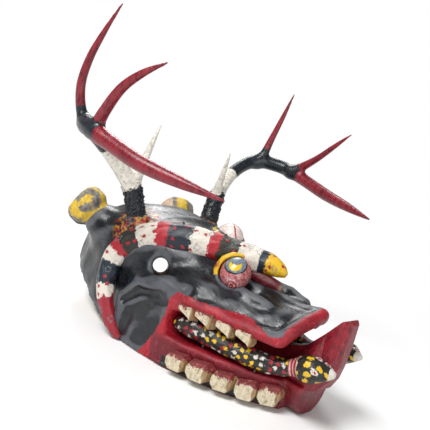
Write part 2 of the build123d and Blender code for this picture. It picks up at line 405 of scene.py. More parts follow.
# the hollow for the face, with the gouge's long shallow flutes left in it
FLUTE_DEPTH = 0.7
hollow = arched(x, y, z, HOLLOW)
flutes = FLUTE_DEPTH * np.sin(x * 0.42 + 1.3 * np.sin(y * 0.035)) * np.sin(y * 0.11 + z * 0.09 + 1.0)
head.cut(whole, hollow + flutes, 6)
# the rim rises in a straight slope behind the crown
RIM_RISE_START, RIM_RISE_SLOPE = 45, 0.42
rise = (z - (y - RIM_RISE_START) * RIM_RISE_SLOPE) * 0.92
head.cut(whole, rise)

# the open mouth: a flat floor, an arched roof, and a round back corner
MOUTH_FLOOR, MOUTH_BACK, MOUTH_HIGH, MOUTH_MIDDLE, ARCH_HALF = 31, -38, 56, 44, 46
forward = MOUTH_BACK - y
arch = np.clip(forward, 0, 120) * 0.17 * np.clip(1 - (x / ARCH_HALF) ** 2, 0, 1)
roof = MOUTH_HIGH + forward * 0.075 + arch
back_wall = ((z - MOUTH_MIDDLE) / 13) ** 2 * 4 - forward
mouth = np.maximum(np.maximum(MOUTH_FLOOR - z, z - roof), back_wall)
head.cut(whole, mouth, 4)

# the lower lip stands in front of the jaw as a thick round flap
FLAP_HALF, FLAP_LOW, FLAP_MIDDLE, FLAP_AT, FLAP_HALF_THICK = 27, 35, 34, -157, 12
flap = np.sqrt((x / FLAP_HALF) ** 2 + ((z - FLAP_MIDDLE) / FLAP_LOW) ** 2) - 1
flap = np.maximum(flap * FLAP_HALF, np.abs(y - FLAP_AT) - FLAP_HALF_THICK)
flap = np.maximum(flap, z - MOUTH_FLOOR - 1)
head.join(whole, np.maximum(flap, -z), 3)

# a channel under the lower teeth leaves a thin bead along the edge of the jaw
JAW_EDGE = [(-90, -30), (-87, -48), (-79, -76), (-70, -98), (-60, -119), (-44, -138), (-27, -149)]
CHANNEL_UP, CHANNEL_R = 6.5, 4.0
for side in (-1, 1):
    channel = both([(x_edge, y_edge, CHANNEL_UP) for x_edge, y_edge in JAW_EDGE], side)
    head.limb(channel, [CHANNEL_R] * len(JAW_EDGE), 2, cut=True)

# the eye holes, which the wearer looks out through
for side in (-1, 1):
    head.limb(both([(-84, -10, 91), (-52, 20, 80), (-30, 41, 72)], side), [9, 7.5, 9], 3, cut=True)
# a scallop in the left rim of the crown, and the socket of the right eye
SCALLOP, SCALLOP_R, SOCKET_R = [(36, 102, 48), (90, 152, 29)], 13, 17.2
head.limb(SCALLOP, [SCALLOP_R] * 2, 3, cut=True)
head.ball(RIGHT_EYE, [SOCKET_R] * 3, None, 1, cut=True)

# the hand tool leaves the outside very slightly uneven
long_wave = 0.5 * np.sin(x * 0.09 + 0.6 * z * 0.1) * np.sin(y * 0.075 + 0.5)
short_wave = 0.35 * np.sin(y * 0.21 + z * 0.16 + x * 0.05)
head.d += (long_wave + short_wave).astype(np.float32) * 0.8
head.d = np.maximum(head.d, -z)

mesh, points = head.mesh("head_shell_carved")
LEVELLING_ROUNDS, SOFTENING_ROUNDS, PROUD_FULL = 12, 3, 0.35


def proud_ridges(mesh):
    """How proud each point stands of its neighbours, from -1 in a groove to 1 on a ridge."""
    n = len(mesh.vertices)
    co, normal = np.zeros(n * 3, np.float32), np.zeros(n * 3, np.float32)
    mesh.vertices.foreach_get("co", co)
    mesh.vertices.foreach_get("normal", normal)
    pairs = np.zeros(len(mesh.edges) * 2, np.int32)
    mesh.edges.foreach_get("vertices", pairs)
    a, b = pairs.reshape(-1, 2).T
    share = np.maximum(np.bincount(a, minlength=n) + np.bincount(b, minlength=n), 1)

    def average(values):
        total = [np.bincount(a, v[b], n) + np.bincount(b, v[a], n) for v in values.T]
        return np.stack(total, 1) / share[:, None]

    co = co.reshape(-1, 3) / MM
    level = co
    for _ in range(LEVELLING_ROUNDS):
        level = average(level)
    proud = ((co - level) * normal.reshape(-1, 3)).sum(1)[:, None]
    for _ in range(SOFTENING_ROUNDS):
        proud = average(proud)
    return np.clip(proud[:, 0] / PROUD_FULL, -1, 1)


px, py, pz = points.T
# the red runs from the lip line down over the mouth, back to a slanting edge on the cheek
red_top = np.interp(py, [-155, -139, -109, -65, -27], [78, 72, 78, 75, 78])
red_back = np.interp(pz, [-5, 10, 30, 50, 66, 80], [-12, -22, -31, -36, -36, -44])
red = np.maximum(pz - red_top, py - red_back)
red = np.minimum(red, np.maximum(py + 148.5, pz - 104))
mark(mesh, "red", red)
inside_hollow = np.maximum(arched(px, py, pz, HOLLOW) - 2.5, 0)
on_rim = np.minimum(np.abs(pz) * 2 + 0.4, np.abs(pz - (py - RIM_RISE_START) * RIM_RISE_SLOPE) + 0.3)
mark(mesh, "bare", np.minimum(inside_hollow, on_rim))
# painted shade: the red darkens low on the jaw, towards the mouth floor where the mouth snakes lie over it
mark(mesh, "gum", np.clip((34 - pz) / 10, 0, 1) * (py < -30))
# painted shade: the red darkens deeper into the mouth, away from its sides
half_width = np.interp(py, HEAD[:, 0], HEAD[:, 1])
in_mouth = (py < -34) & (pz > 24) & (pz < 90)
mark(mesh, "deep", np.where(in_mouth, np.clip((half_width - 8 - np.abs(px)) / 26, 0, 1), 0))
past_channel = np.max([np.abs(pz - CHANNEL_UP) - CHANNEL_R - 0.2, py + 46, -141 - py, 0 * py], axis=0)
mark(mesh, "channel", past_channel - 1)
lid_line = smooth_line(EYELID, [1] * len(EYELID), 2)[0]
mark(mesh, "lid", np.min([np.linalg.norm(points - p, axis=1) for p in lid_line], axis=0))
mark(mesh, "far_lid", np.linalg.norm(points - LEFT_EYE, axis=1))
# how far each point stands proud: the ridges are lightened to grey by it, partly handling wear, partly a
# painted highlight
mark(mesh, "worn", proud_ridges(mesh))
ANTLER_SEAT = (-58, 65, 112)
seats = [np.linalg.norm((points - both(ANTLER_SEAT, s)) * (1, 1, 0.7), axis=1) for s in (-1, 1)]
mark(mesh, "seat", np.minimum(*seats))


def finish(name):
    """A new material: its tree, its position in the object, and its shader."""
    material = bpy.data.materials.new(name)
    material.use_nodes = True
    t = material.node_tree
    spot = node(t, "ShaderNodeTexCoord").outputs["Object"]
    return material, t, spot, t.nodes["Principled BSDF"]


# Oil enamel on carved pine: laid on by hand, so its gloss is uneven, its brush marks show, its
# edges wander, and handling has dulled the ridges to a chalky grey, which is also a painted highlight along
# them. The mouth's red carries painted shade, deeper in and low under the snakes. The bare inside is
# darkened.
enamel, t, spot, shader = finish("brushed_enamel_on_pine")
cloud = node(t, "ShaderNodeTexNoise", Vector=spot, Scale=1 / (38 * MM), Detail=4, Roughness=0.55).outputs[0]
stroke = node(
    t, "ShaderNodeTexNoise",
    Vector=node(t, "ShaderNodeVectorMath", {"operation": "DIVIDE"}, i0=spot, i1=(1, 6, 2)),
    Scale=1 / (3.0 * MM), Detail=4, Roughness=0.65,
).outputs[0]
fine = node(
    t, "ShaderNodeTexNoise",
    Vector=node(t, "ShaderNodeVectorMath", {"operation": "DIVIDE"}, i0=spot, i1=(1, 3, 1)),
    Scale=1 / (1.1 * MM), Detail=3, Roughness=0.6,
).outputs[0]
ragged = node(
    t, "ShaderNodeMath", {"operation": "MULTIPLY_ADD"},
    i0=node(t, "ShaderNodeTexNoise", Vector=spot, Scale=1 / (5 * MM), Detail=4, Roughness=0.7), i1=5.0,
    i2=-2.5,
).outputs[0]
black = node(
    t, "ShaderNodeMix", {"data_type": "RGBA"}, i0=node(t, "ShaderNodeMapRange", i0=cloud, i1=0.35, i2=0.7),
    i6="#060809", i7="#12171c",
).outputs[2]
dust = node(
    t, "ShaderNodeMath", {"operation": "MULTIPLY"},
    i0=node(
        t, "ShaderNodeMapRange",
        i0=node(t, "ShaderNodeTexNoise", Vector=spot, Scale=1 / (26 * MM), Detail=5, Roughness=0.65),
        i1=0.44, i2=0.62,
    ),
    i1=node(t, "ShaderNodeMapRange", i0=stroke, i1=0.36, i2=0.6),
).outputs[0]
black = node(
    t, "ShaderNodeMix", {"data_type": "RGBA"},
    i0=node(t, "ShaderNodeMath", {"operation": "MULTIPLY"}, i0=dust, i1=0.4), i6=black, i7="#3f444b",
).outputs[2]
# ridges lightened to grey: partly handling wear, partly a painted highlight along each ridge
wear_and_ridge_highlight = node(
    t, "ShaderNodeMapRange",
    i0=node(
        t, "ShaderNodeMath", {"operation": "MULTIPLY_ADD"}, i0=stroke, i1=0.9,
        i2=node(t, "ShaderNodeAttribute", {"attribute_name": "worn"}).outputs["Fac"],
    ),
    i1=0.85, i2=1.5,
).outputs[0]
black = node(
    t, "ShaderNodeMix", {"data_type": "RGBA"},
    i0=node(t, "ShaderNodeMath", {"operation": "MULTIPLY"}, i0=wear_and_ridge_highlight, i1=0.7), i6=black, i7="#62656b",
).outputs[2]
dragged = node(
    t, "ShaderNodeTexNoise",
    Vector=node(t, "ShaderNodeVectorMath", {"operation": "DIVIDE"}, i0=spot, i1=(1.3, 1, 5)),
    Scale=1 / (1.5 * MM), Detail=5, Roughness=0.72,
).outputs[0]
scarlet = node(
    t, "ShaderNodeMix", {"data_type": "RGBA"},
    i0=node(
        t, "ShaderNodeMapRange",
        i0=node(
            t, "ShaderNodeMath", {"operation": "MULTIPLY_ADD"}, i0=cloud, i1=0.5,
            i2=node(t, "ShaderNodeMath", {"operation": "MULTIPLY"}, i0=dragged, i1=0.5),
        ),
        i1=0.38, i2=0.58,
    ),
    i6="#720c18", i7="#b0172a",
).outputs[2]
# painted shade low on the jaw, under the mouth snakes
scarlet = node(
    t, "ShaderNodeMix", {"data_type": "RGBA"},
    i0=node(
        t, "ShaderNodeMath", {"operation": "MULTIPLY"},
        i0=node(t, "ShaderNodeAttribute", {"attribute_name": "gum"}).outputs["Fac"], i1=0.75,
    ),
    i6=scarlet, i7="#52101c",
).outputs[2]
scarlet = node(
    t, "ShaderNodeMix", {"data_type": "RGBA"},
    i0=node(
        t, "ShaderNodeMath", {"operation": "MULTIPLY"},
        i0=node(t, "ShaderNodeMapRange", i0=dragged, i1=0.58, i2=0.68), i1=0.5,
    ),
    i6=scarlet, i7="#c4606e",
).outputs[2]
# painted shade deep in the mouth: the red is pulled towards a dark crimson
scarlet = node(
    t, "ShaderNodeMix", {"data_type": "RGBA"},
    i0=node(
        t, "ShaderNodeMath", {"operation": "MULTIPLY"},
        i0=node(t, "ShaderNodeAttribute", {"attribute_name": "deep"}).outputs["Fac"], i1=0.8,
    ),
    i6=scarlet, i7="#3c0b14",
).outputs[2]
red_share = node(
    t, "ShaderNodeMapRange",
    i0=node(
        t, "ShaderNodeMath", {"operation": "ADD"},
        i0=node(t, "ShaderNodeAttribute", {"attribute_name": "red"}).outputs["Fac"], i1=ragged,
    ),
    i1=0.4, i2=-0.4,
).outputs[0]
colour = node(t, "ShaderNodeMix", {"data_type": "RGBA"}, i0=red_share, i6=black, i7=scarlet).outputs[2]
channel = node(
    t, "ShaderNodeMapRange",
    i0=node(
        t, "ShaderNodeMath", {"operation": "ADD"},
        i0=node(t, "ShaderNodeAttribute", {"attribute_name": "channel"}).outputs["Fac"],
        i1=node(t, "ShaderNodeMath", {"operation": "MULTIPLY"}, i0=ragged, i1=0.2),
    ),
    i1=0.4, i2=-0.3,
).outputs[0]
colour = node(t, "ShaderNodeMix", {"data_type": "RGBA"}, i0=channel, i6=colour, i7="#16181b").outputs[2]
ring = node(
    t, "ShaderNodeMath", {"operation": "ADD"},
    i0=node(t, "ShaderNodeAttribute", {"attribute_name": "lid"}).outputs["Fac"],
    i1=node(t, "ShaderNodeMath", {"operation": "MULTIPLY"}, i0=ragged, i1=0.5),
).outputs[0]
colour = node(
    t, "ShaderNodeMix", {"data_type": "RGBA"}, i0=node(t, "ShaderNodeMapRange", i0=ring, i1=5.4, i2=4.8),
    i6=colour,
    i7=node(
        t, "ShaderNodeMix", {"data_type": "RGBA"},
        i0=node(
            t, "ShaderNodeMapRange",
            i0=node(t, "ShaderNodeTexNoise", Vector=spot, Scale=1 / (11 * MM), Detail=2, Roughness=0.55),
            i1=0.36, i2=0.46,
        ),
        i6="#8c1a25", i7="#d9ab17",
    ).outputs[2],
).outputs[2]
ring = node(
    t, "ShaderNodeMath", {"operation": "ADD"},
    i0=node(
        t, "ShaderNodeMath", {"operation": "ABSOLUTE"},
        i0=node(
            t, "ShaderNodeMath", {"operation": "SUBTRACT"},
            i0=node(t, "ShaderNodeAttribute", {"attribute_name": "far_lid"}).outputs["Fac"], i1=20,
        ),
    ),
    i1=node(t, "ShaderNodeMath", {"operation": "MULTIPLY"}, i0=ragged, i1=0.5),
).outputs[0]
colour = node(
    t, "ShaderNodeMix", {"data_type": "RGBA"},
    i0=node(
        t, "ShaderNodeMath", {"operation": "MULTIPLY"},
        i0=node(t, "ShaderNodeMapRange", i0=ring, i1=2.4, i2=1.8),
        i1=node(
            t, "ShaderNodeMapRange",
            i0=node(t, "ShaderNodeTexNoise", Vector=spot, Scale=1 / (8 * MM), Detail=2, Roughness=0.55),
            i1=0.42, i2=0.5,
        ),
    ),
    i6=colour, i7="#d9ab17",
).outputs[2]
splash = node(
    t, "ShaderNodeMath", {"operation": "MULTIPLY"},
    i0=node(
        t, "ShaderNodeMapRange",
        i0=node(t, "ShaderNodeAttribute", {"attribute_name": "seat"}).outputs["Fac"], i1=27, i2=19,
    ),
    i1=node(
        t, "ShaderNodeMapRange",
        i0=node(t, "ShaderNodeTexNoise", Vector=spot, Scale=1 / (8 * MM), Detail=4, Roughness=0.55),
        i1=0.46, i2=0.52,
    ),
).outputs[0]
colour = node(
    t, "ShaderNodeMix", {"data_type": "RGBA"}, i0=splash, i6=colour,
    i7=node(
        t, "ShaderNodeMix", {"data_type": "RGBA"},
        i0=node(
            t, "ShaderNodeMapRange",
            i0=node(t, "ShaderNodeTexNoise", Vector=spot, Scale=1 / (4 * MM), Detail=2, Roughness=0.55),
            i1=0.52, i2=0.58,
        ),
        i6="#9a1a26", i7="#b8912a",
    ).outputs[2],
).outputs[2]
rings = node(
    t, "ShaderNodeTexWave", {"bands_direction": "X"}, Vector=spot, Scale=90, Distortion=6, Detail=2,
    Detail_Scale=1.2,
).outputs["Fac"]
pine = node(t, "ShaderNodeMix", {"data_type": "RGBA"}, i0=rings, i6="#b99a72", i7="#d9c6a2").outputs[2]
pine = node(
    t, "ShaderNodeMix", {"data_type": "RGBA"},
    i0=node(
        t, "ShaderNodeMath", {"operation": "MULTIPLY"},
        i0=node(t, "ShaderNodeMapRange", i0=cloud, i1=0.45, i2=0.7), i1=0.5,
    ),
    i6=pine, i7="#7b6248",
).outputs[2]
bare = node(
    t, "ShaderNodeMapRange",
    i0=node(
        t, "ShaderNodeMath", {"operation": "MULTIPLY_ADD"},
        i0=node(t, "ShaderNodeTexNoise", Vector=spot, Scale=1 / (4 * MM), Detail=3, Roughness=0.55), i1=1.2,
        i2=node(t, "ShaderNodeAttribute", {"attribute_name": "bare"}).outputs["Fac"],
    ),
    i1=1.6, i2=1.0,
).outputs[0]
colour = node(t, "ShaderNodeMix", {"data_type": "RGBA"}, i0=bare, i6=colour, i7=pine).outputs[2]
t.links.new(colour, shader.inputs["Base Color"])
gloss = node(
    t, "ShaderNodeMath", {"operation": "MULTIPLY_ADD"},
    i0=node(
        t, "ShaderNodeMapRange",
        i0=node(t, "ShaderNodeTexNoise", Vector=spot, Scale=1 / (14 * MM), Detail=3, Roughness=0.55),
        i1=0.3, i2=0.7,
    ),
    i1=0.24, i2=0.17,
).outputs[0]
gloss = node(
    t, "ShaderNodeMath", {"operation": "ADD"}, i0=gloss,
    i1=node(t, "ShaderNodeMath", {"operation": "MULTIPLY"}, i0=wear_and_ridge_highlight, i1=0.2),
).outputs[0]
gloss = node(
    t, "ShaderNodeMath", {"operation": "MAXIMUM"}, i0=gloss,
    i1=node(t, "ShaderNodeMath", {"operation": "MULTIPLY"}, i0=bare, i1=0.75),
).outputs[0]
t.links.new(gloss, shader.inputs["Roughness"])
marks = node(t, "ShaderNodeBump", Height=stroke, Distance=0.5 * MM)
marks = node(t, "ShaderNodeBump", Height=fine, Distance=0.12 * MM, Normal=marks)
marks = node(
    t, "ShaderNodeBump",
    Height=node(t, "ShaderNodeMath", {"operation": "MULTIPLY"}, i0=dragged, i1=red_share),
    Distance=0.4 * MM, Normal=marks,
)
t.links.new(marks.outputs[0], shader.inputs["Normal"])
piece("head_carving", mesh, enamel, "head_paint", "head_shell")

# ---------------------------------------------------------------- right_antler, left_antler
# Two real deer antlers, each sawn off with its burr and pegged into the crown; the pearled stem is
# painted navy, then a white band, navy at the forks, and red to the points.
BEAM = [
    ((-54, 62, 96), 9), ((-57, 64, 106), 10.5), ((-61, 67, 122), 10), ((-71, 74, 148), 9.5),
    ((-89, 83, 169), 8.6), ((-116, 88, 190), 8), ((-142, 83, 204), 8.8), ((-160, 60, 206), 8.6),
    ((-166, 36, 203), 8.6), ((-164, 12, 198), 7.8), ((-159, -24, 191), 7.4), ((-147, -64, 187), 5.4),
    ((-131, -103, 184), 1.2),
]
TINES = {
    -1: [[((-69, 74, 148), 6.5), ((-66, 73, 170), 5), ((-64, 70, 195), 3.4), ((-61, 66, 222), 0.9)],
         [((-142, 82, 202), 7), ((-149, 89, 217), 5.2), ((-154, 92, 240), 4.5), ((-155, 88, 265), 3.9),
          ((-154, 79, 290), 2.9), ((-151, 65, 323), 0.9)],
         [((-162, 44, 203), 7), ((-166, 33, 222), 5.6), ((-167, 16, 248), 4.6), ((-163, -2, 266), 3.4),
          ((-157, -22, 280), 0.9)]],
    1: [[((69, 74, 148), 6.5), ((66, 71, 164), 4.8), ((63, 67, 186), 3.2), ((60, 63, 208), 0.9)],
        [((142, 82, 202), 7.5), ((146, 78, 216), 5.6), ((150, 76, 238), 4.2), ((152, 70, 270), 3),
         ((151, 63, 301), 0.9)],
        [((162, 40, 203), 7.5), ((165, 24, 217), 5.4), ((164, 6, 233), 4), ((162, -13, 253), 3),
         ((159, -31, 271), 0.9)]],
}
# along the beam, in millimetres: the burr, the end of the pearled stem, and where the white band lies
BURR_AT, BURR_HALF, BURR_HIGH, STEM_LONG, WHITE_AT = 13, 4.5, 4.0, 62, 84
WHITE_HALF, RED_FROM = {-1: 27, 1: 20}, {-1: 210, 1: 214}
NEVER = 30  # far past any edge of paint


def along(places):
    """How far along a line each of its points is."""
    return np.r_[0, np.cumsum(np.linalg.norm(np.diff(places, axis=0), axis=1))]


antler_meshes = {}
for side in (-1, 1):
    lines = [smooth_line(both([p for p, r in BEAM], side), [r for p, r in BEAM], 4)]
    lines += [smooth_line([p for p, r in tine], [r for p, r in tine], 4) for tine in TINES[side]]
    every = np.vstack([places for places, radii in lines])
    antler = Block(every.min(0) - 16, every.max(0) + 16, 1.35)
    for i, (p, r) in enumerate(lines):
        if i == 0:
            run = along(p)
            burr = np.exp(-((run - BURR_AT) / BURR_HALF) ** 2) * BURR_HIGH
            r = r + np.where(run < STEM_LONG, 0.35 * np.sin(run * 0.9), 0) + burr
        antler.limb(p, r, 0.0 if i == 0 else 6.0)
    mesh, points = antler.mesh("antler")
    nearest = np.full(len(points), 1e9)
    limb_of, run_of = np.zeros(len(points), int), np.zeros(len(points))
    for i, (p, r) in enumerate(lines):
        run = along(p)
        for k in range(len(p) - 1):
            v = p[k + 1] - p[k]
            u = np.clip(((points - p[k]) @ v) / (v @ v), 0, 1)
            thick = r[k] + u * (r[k + 1] - r[k]) + (1.0 if i == 0 else 0)
            away = np.linalg.norm(points - p[k] - u[:, None] * v, axis=1) - thick
            better = away < nearest
            nearest[better] = away[better]
            limb_of[better] = i
            run_of[better] = run[k] + u[better] * np.linalg.norm(v)
    beam, brow_tine, back_tine, front_tine = (limb_of == i for i in range(4))
    white_band = np.abs(run_of - WHITE_AT) - WHITE_HALF[side]
    mark(mesh, "white", np.select([beam, brow_tine], [white_band, 4 - run_of], NEVER))
    reds = [RED_FROM[side] - run_of, 22 - run_of, 15 - run_of]
    mark(mesh, "red", np.select([beam, back_tine, front_tine], reds, NEVER))
    mark(mesh, "run", run_of)
    mark(mesh, "pearled", np.where(beam & (run_of > 6), np.clip((66 - run_of) / 8, 0, 1), 0))
    antler_meshes[side] = mesh

# Enamel brushed straight on antler: thin, so its brush marks run along the tines and the chalky
# white shows darker antler in its hollows; the red is streaked with pink where it was rubbed.
antler_paint, t, spot, shader = finish("brushed_enamel_on_antler")
streak = node(
    t, "ShaderNodeTexNoise",
    Vector=node(t, "ShaderNodeVectorMath", {"operation": "DIVIDE"}, i0=spot, i1=(2, 2, 5)),
    Scale=1 / (2.2 * MM), Detail=4, Roughness=0.65,
).outputs[0]
ragged = node(
    t, "ShaderNodeMath", {"operation": "MULTIPLY_ADD"},
    i0=node(t, "ShaderNodeTexNoise", Vector=spot, Scale=1 / (3.5 * MM), Detail=4, Roughness=0.7), i1=8.0,
    i2=-4.0,
).outputs[0]
navy = node(
    t, "ShaderNodeMix", {"data_type": "RGBA"}, i0=node(t, "ShaderNodeMapRange", i0=streak, i1=0.4, i2=0.7),
    i6="#0a0f14", i7="#1c262f",
).outputs[2]
red = node(
    t, "ShaderNodeMix", {"data_type": "RGBA"}, i0=node(t, "ShaderNodeMapRange", i0=streak, i1=0.35, i2=0.6),
    i6="#5e0f1c", i7="#8b1c2a",
).outputs[2]
red = node(
    t, "ShaderNodeMix", {"data_type": "RGBA"},
    i0=node(
        t, "ShaderNodeMath", {"operation": "MULTIPLY"},
        i0=node(
            t, "ShaderNodeMapRange",
            i0=node(
                t, "ShaderNodeTexNoise",
                Vector=node(t, "ShaderNodeVectorMath", {"operation": "DIVIDE"}, i0=spot, i1=(2, 2, 6)),
                Scale=1 / (7 * MM), Detail=4, Roughness=0.7,
            ),
            i1=0.58, i2=0.72,
        ),
        i1=0.3,
    ),
    i6=red, i7="#a05a66",
).outputs[2]
white = node(
    t, "ShaderNodeMix", {"data_type": "RGBA"},
    i0=node(
        t, "ShaderNodeMapRange",
        i0=node(t, "ShaderNodeTexNoise", Vector=spot, Scale=1 / (4 * MM), Detail=5, Roughness=0.7), i1=0.35,
        i2=0.55,
    ),
    i6="#b9b2a4", i7="#e4dfd4",
).outputs[2]
white = node(
    t, "ShaderNodeMix", {"data_type": "RGBA"},
    i0=node(
        t, "ShaderNodeMapRange",
        i0=node(t, "ShaderNodeTexNoise", Vector=spot, Scale=1 / (1.6 * MM), Detail=3, Roughness=0.6),
        i1=0.66, i2=0.74,
    ),
    i6=white, i7="#6d6456",
).outputs[2]
colour = node(
    t, "ShaderNodeMix", {"data_type": "RGBA"},
    i0=node(
        t, "ShaderNodeMapRange",
        i0=node(
            t, "ShaderNodeMath", {"operation": "ADD"},
            i0=node(t, "ShaderNodeAttribute", {"attribute_name": "red"}).outputs["Fac"], i1=ragged,
        ),
        i1=0.5, i2=-0.5,
    ),
    i6=navy, i7=red,
).outputs[2]
colour = node(
    t, "ShaderNodeMix", {"data_type": "RGBA"},
    i0=node(
        t, "ShaderNodeMapRange",
        i0=node(
            t, "ShaderNodeMath", {"operation": "ADD"},
            i0=node(t, "ShaderNodeAttribute", {"attribute_name": "white"}).outputs["Fac"], i1=ragged,
        ),
        i1=0.5, i2=-0.5,
    ),
    i6=colour, i7=white,
).outputs[2]
colour = node(
    t, "ShaderNodeMix", {"data_type": "RGBA"},
    i0=node(
        t, "ShaderNodeMath", {"operation": "MULTIPLY"},
        i0=node(
            t, "ShaderNodeMapRange",
            i0=node(t, "ShaderNodeAttribute", {"attribute_name": "run"}).outputs["Fac"], i1=352, i2=358,
        ),
        i1=0.7,
    ),
    i6=colour, i7="#d8cfc0",
).outputs[2]
t.links.new(colour, shader.inputs["Base Color"])
t.links.new(
    node(
        t, "ShaderNodeMath", {"operation": "MULTIPLY_ADD"},
        i0=node(t, "ShaderNodeMapRange", i0=streak, i1=0.3, i2=0.7), i1=0.2, i2=0.24,
    ).outputs[0],
    shader.inputs["Roughness"],
)
marks = node(t, "ShaderNodeBump", Height=streak, Distance=0.35 * MM)
marks = node(
    t, "ShaderNodeBump",
    Height=node(
        t, "ShaderNodeMath", {"operation": "MULTIPLY"},
        i0=node(t, "ShaderNodeTexNoise", Vector=spot, Scale=1 / (1.6 * MM), Detail=2, Roughness=0.55),
        i1=node(
            t, "ShaderNodeMapRange",
            i0=node(t, "ShaderNodeAttribute", {"attribute_name": "run"}).outputs["Fac"], i1=130, i2=60,
        ),
    ),
    Distance=0.5 * MM, Normal=marks,
)
t.links.new(marks.outputs[0], shader.inputs["Normal"])

def pearl_tree():
    """The pearling: small hard beads of antler, scattered where the stem is marked for them."""
    tree = bpy.data.node_groups.new("pearling", "GeometryNodeTree")
    for name, way, kind in (
        ("Geometry", "INPUT", "Geometry"), ("Beads per square metre", "INPUT", "Float"),
        ("Bead radius", "INPUT", "Float"), ("Paint", "INPUT", "Material"), ("Geometry", "OUTPUT", "Geometry"),
    ):
        tree.interface.new_socket(name, in_out=way, socket_type="NodeSocket" + kind)
    start, end = tree.nodes.new("NodeGroupInput"), tree.nodes.new("NodeGroupOutput")
    where = node(tree, "GeometryNodeInputNamedAttribute", {"data_type": "FLOAT"}, Name="pearled").outputs[0]
    dense = node(tree, "ShaderNodeMath", {"operation": "MULTIPLY"}, i0=where, i1=start.outputs[1]).outputs[0]
    spread = node(tree, "GeometryNodeDistributePointsOnFaces", Mesh=start.outputs[0], Density=dense, Seed=7)
    bead = node(tree, "GeometryNodeMeshIcoSphere", Radius=start.outputs[2], Subdivisions=2).outputs[0]
    size = node(tree, "FunctionNodeRandomValue", {"data_type": "FLOAT"}, i2=0.55, i3=1.25, Seed=3).outputs[1]
    put = node(tree, "GeometryNodeInstanceOnPoints", Points=spread.outputs[0], Instance=bead,
               Rotation=spread.outputs["Rotation"], Scale=size).outputs[0]
    real = node(tree, "GeometryNodeRealizeInstances", Geometry=put).outputs[0]
    done = node(tree, "GeometryNodeSetMaterial", Geometry=real, Material=start.outputs[3]).outputs[0]
    tree.links.new(done, end.inputs[0])
    return tree


def grown(mesh, tree, **inputs):
    """Runs a geometry tree on a mesh and gives the plain mesh that it makes."""
    o = bpy.data.objects.new("seed", mesh)
    bpy.context.scene.collection.objects.link(o)
    m = o.modifiers.new("grow", "NODES")
    m.node_group = tree
    for item in tree.interface.items_tree:
        if item.in_out == "INPUT" and item.name.replace(" ", "_") in inputs:
            m[item.identifier] = inputs[item.name.replace(" ", "_")]
    out = bpy.data.meshes.new_from_object(o.evaluated_get(bpy.context.evaluated_depsgraph_get()))
    bpy.data.objects.remove(o)
    return out


pearls = pearl_tree()
BEADS_PER_SQUARE_METRE, BEAD_R = 110000.0, 1.55
for side, word in ((-1, "right"), (1, "left")):
    beads = grown(
        antler_meshes[side], pearls, Beads_per_square_metre=BEADS_PER_SQUARE_METRE, Bead_radius=BEAD_R * MM,
        Paint=antler_paint,
    )
    for name, value in (("white", NEVER), ("red", NEVER), ("run", 0)):
        mark(beads, name, np.full(len(beads.vertices), value))
    beads.polygons.foreach_set("use_smooth", np.ones(len(beads.polygons), bool))
    piece(f"{word}_antler_horn", antler_meshes[side], antler_paint, "antler_paint", f"{word}_antler")
    piece(f"{word}_antler_pearls", beads, antler_paint, "antler_paint")

# ---------------------------------------------------------------- right_ear, left_ear
# Stubby round ears whittled from a branch, each on a neck let into the skull. The side that looks
# forward and out is rubbed down to grey wood, with what is left of a yellow coat round its edge.
EAR_FOOT, EAR_END, EAR_R = np.array((68, 125, 103.0)), np.array((80, 144, 114.0)), 23
EAR_ROUNDING = 9
EAR_FACE = np.array((0.55, -0.66, 0.51))  # the way the painted side looks
ear_meshes = {}
for side, word in ((-1, "right"), (1, "left")):
    foot, end = EAR_FOOT * (side, 1, 1), EAR_END * (side, 1, 1)
    axis = (end - foot) / np.linalg.norm(end - foot)
    long = np.linalg.norm(end - foot)
    ear = Block((foot + end) / 2 - 40, (foot + end) / 2 + 36, 1.0)
    part, x, y, z = ear.all()
    run = (x - foot[0]) * axis[0] + (y - foot[1]) * axis[1] + (z - foot[2]) * axis[2]
    off = [x - foot[0] - run * axis[0], y - foot[1] - run * axis[1], z - foot[2] - run * axis[2]]
    turn = np.arctan2(off[2], off[0] * side)
    wide = np.sqrt(off[0] ** 2 + off[1] ** 2 + off[2] ** 2)
    cuts = 0.4 * np.cos(turn * 9 + 0.08 * run) + 0.5 * np.sin(turn * 4 + 1)
    past_side = wide + cuts - EAR_R + EAR_ROUNDING
    past_end = np.abs(run - long / 2) - long / 2 + EAR_ROUNDING
    rounded = np.hypot(np.maximum(past_side, 0), np.maximum(past_end, 0))
    ear.join(part, np.where(rounded > 0, rounded, np.maximum(past_side, past_end)) - EAR_ROUNDING)
    ear.limb([(side * 61, 113, 96), (side * 71, 130, 106)], [17, 17], 5)
    mesh, points = ear.mesh("ear")
    face = EAR_FACE * (side, 1, 1)
    from_middle = points - (foot + end) / 2
    front = from_middle @ face
    mark(mesh, "front", front)
    mark(mesh, "off_centre", np.linalg.norm(from_middle - front[:, None] * face, axis=1))
    mark(mesh, "from_end", long - (points - foot) @ axis)
    mark(mesh, "far_side", np.full(len(points), float(side > 0)))
    ear_meshes[word] = mesh

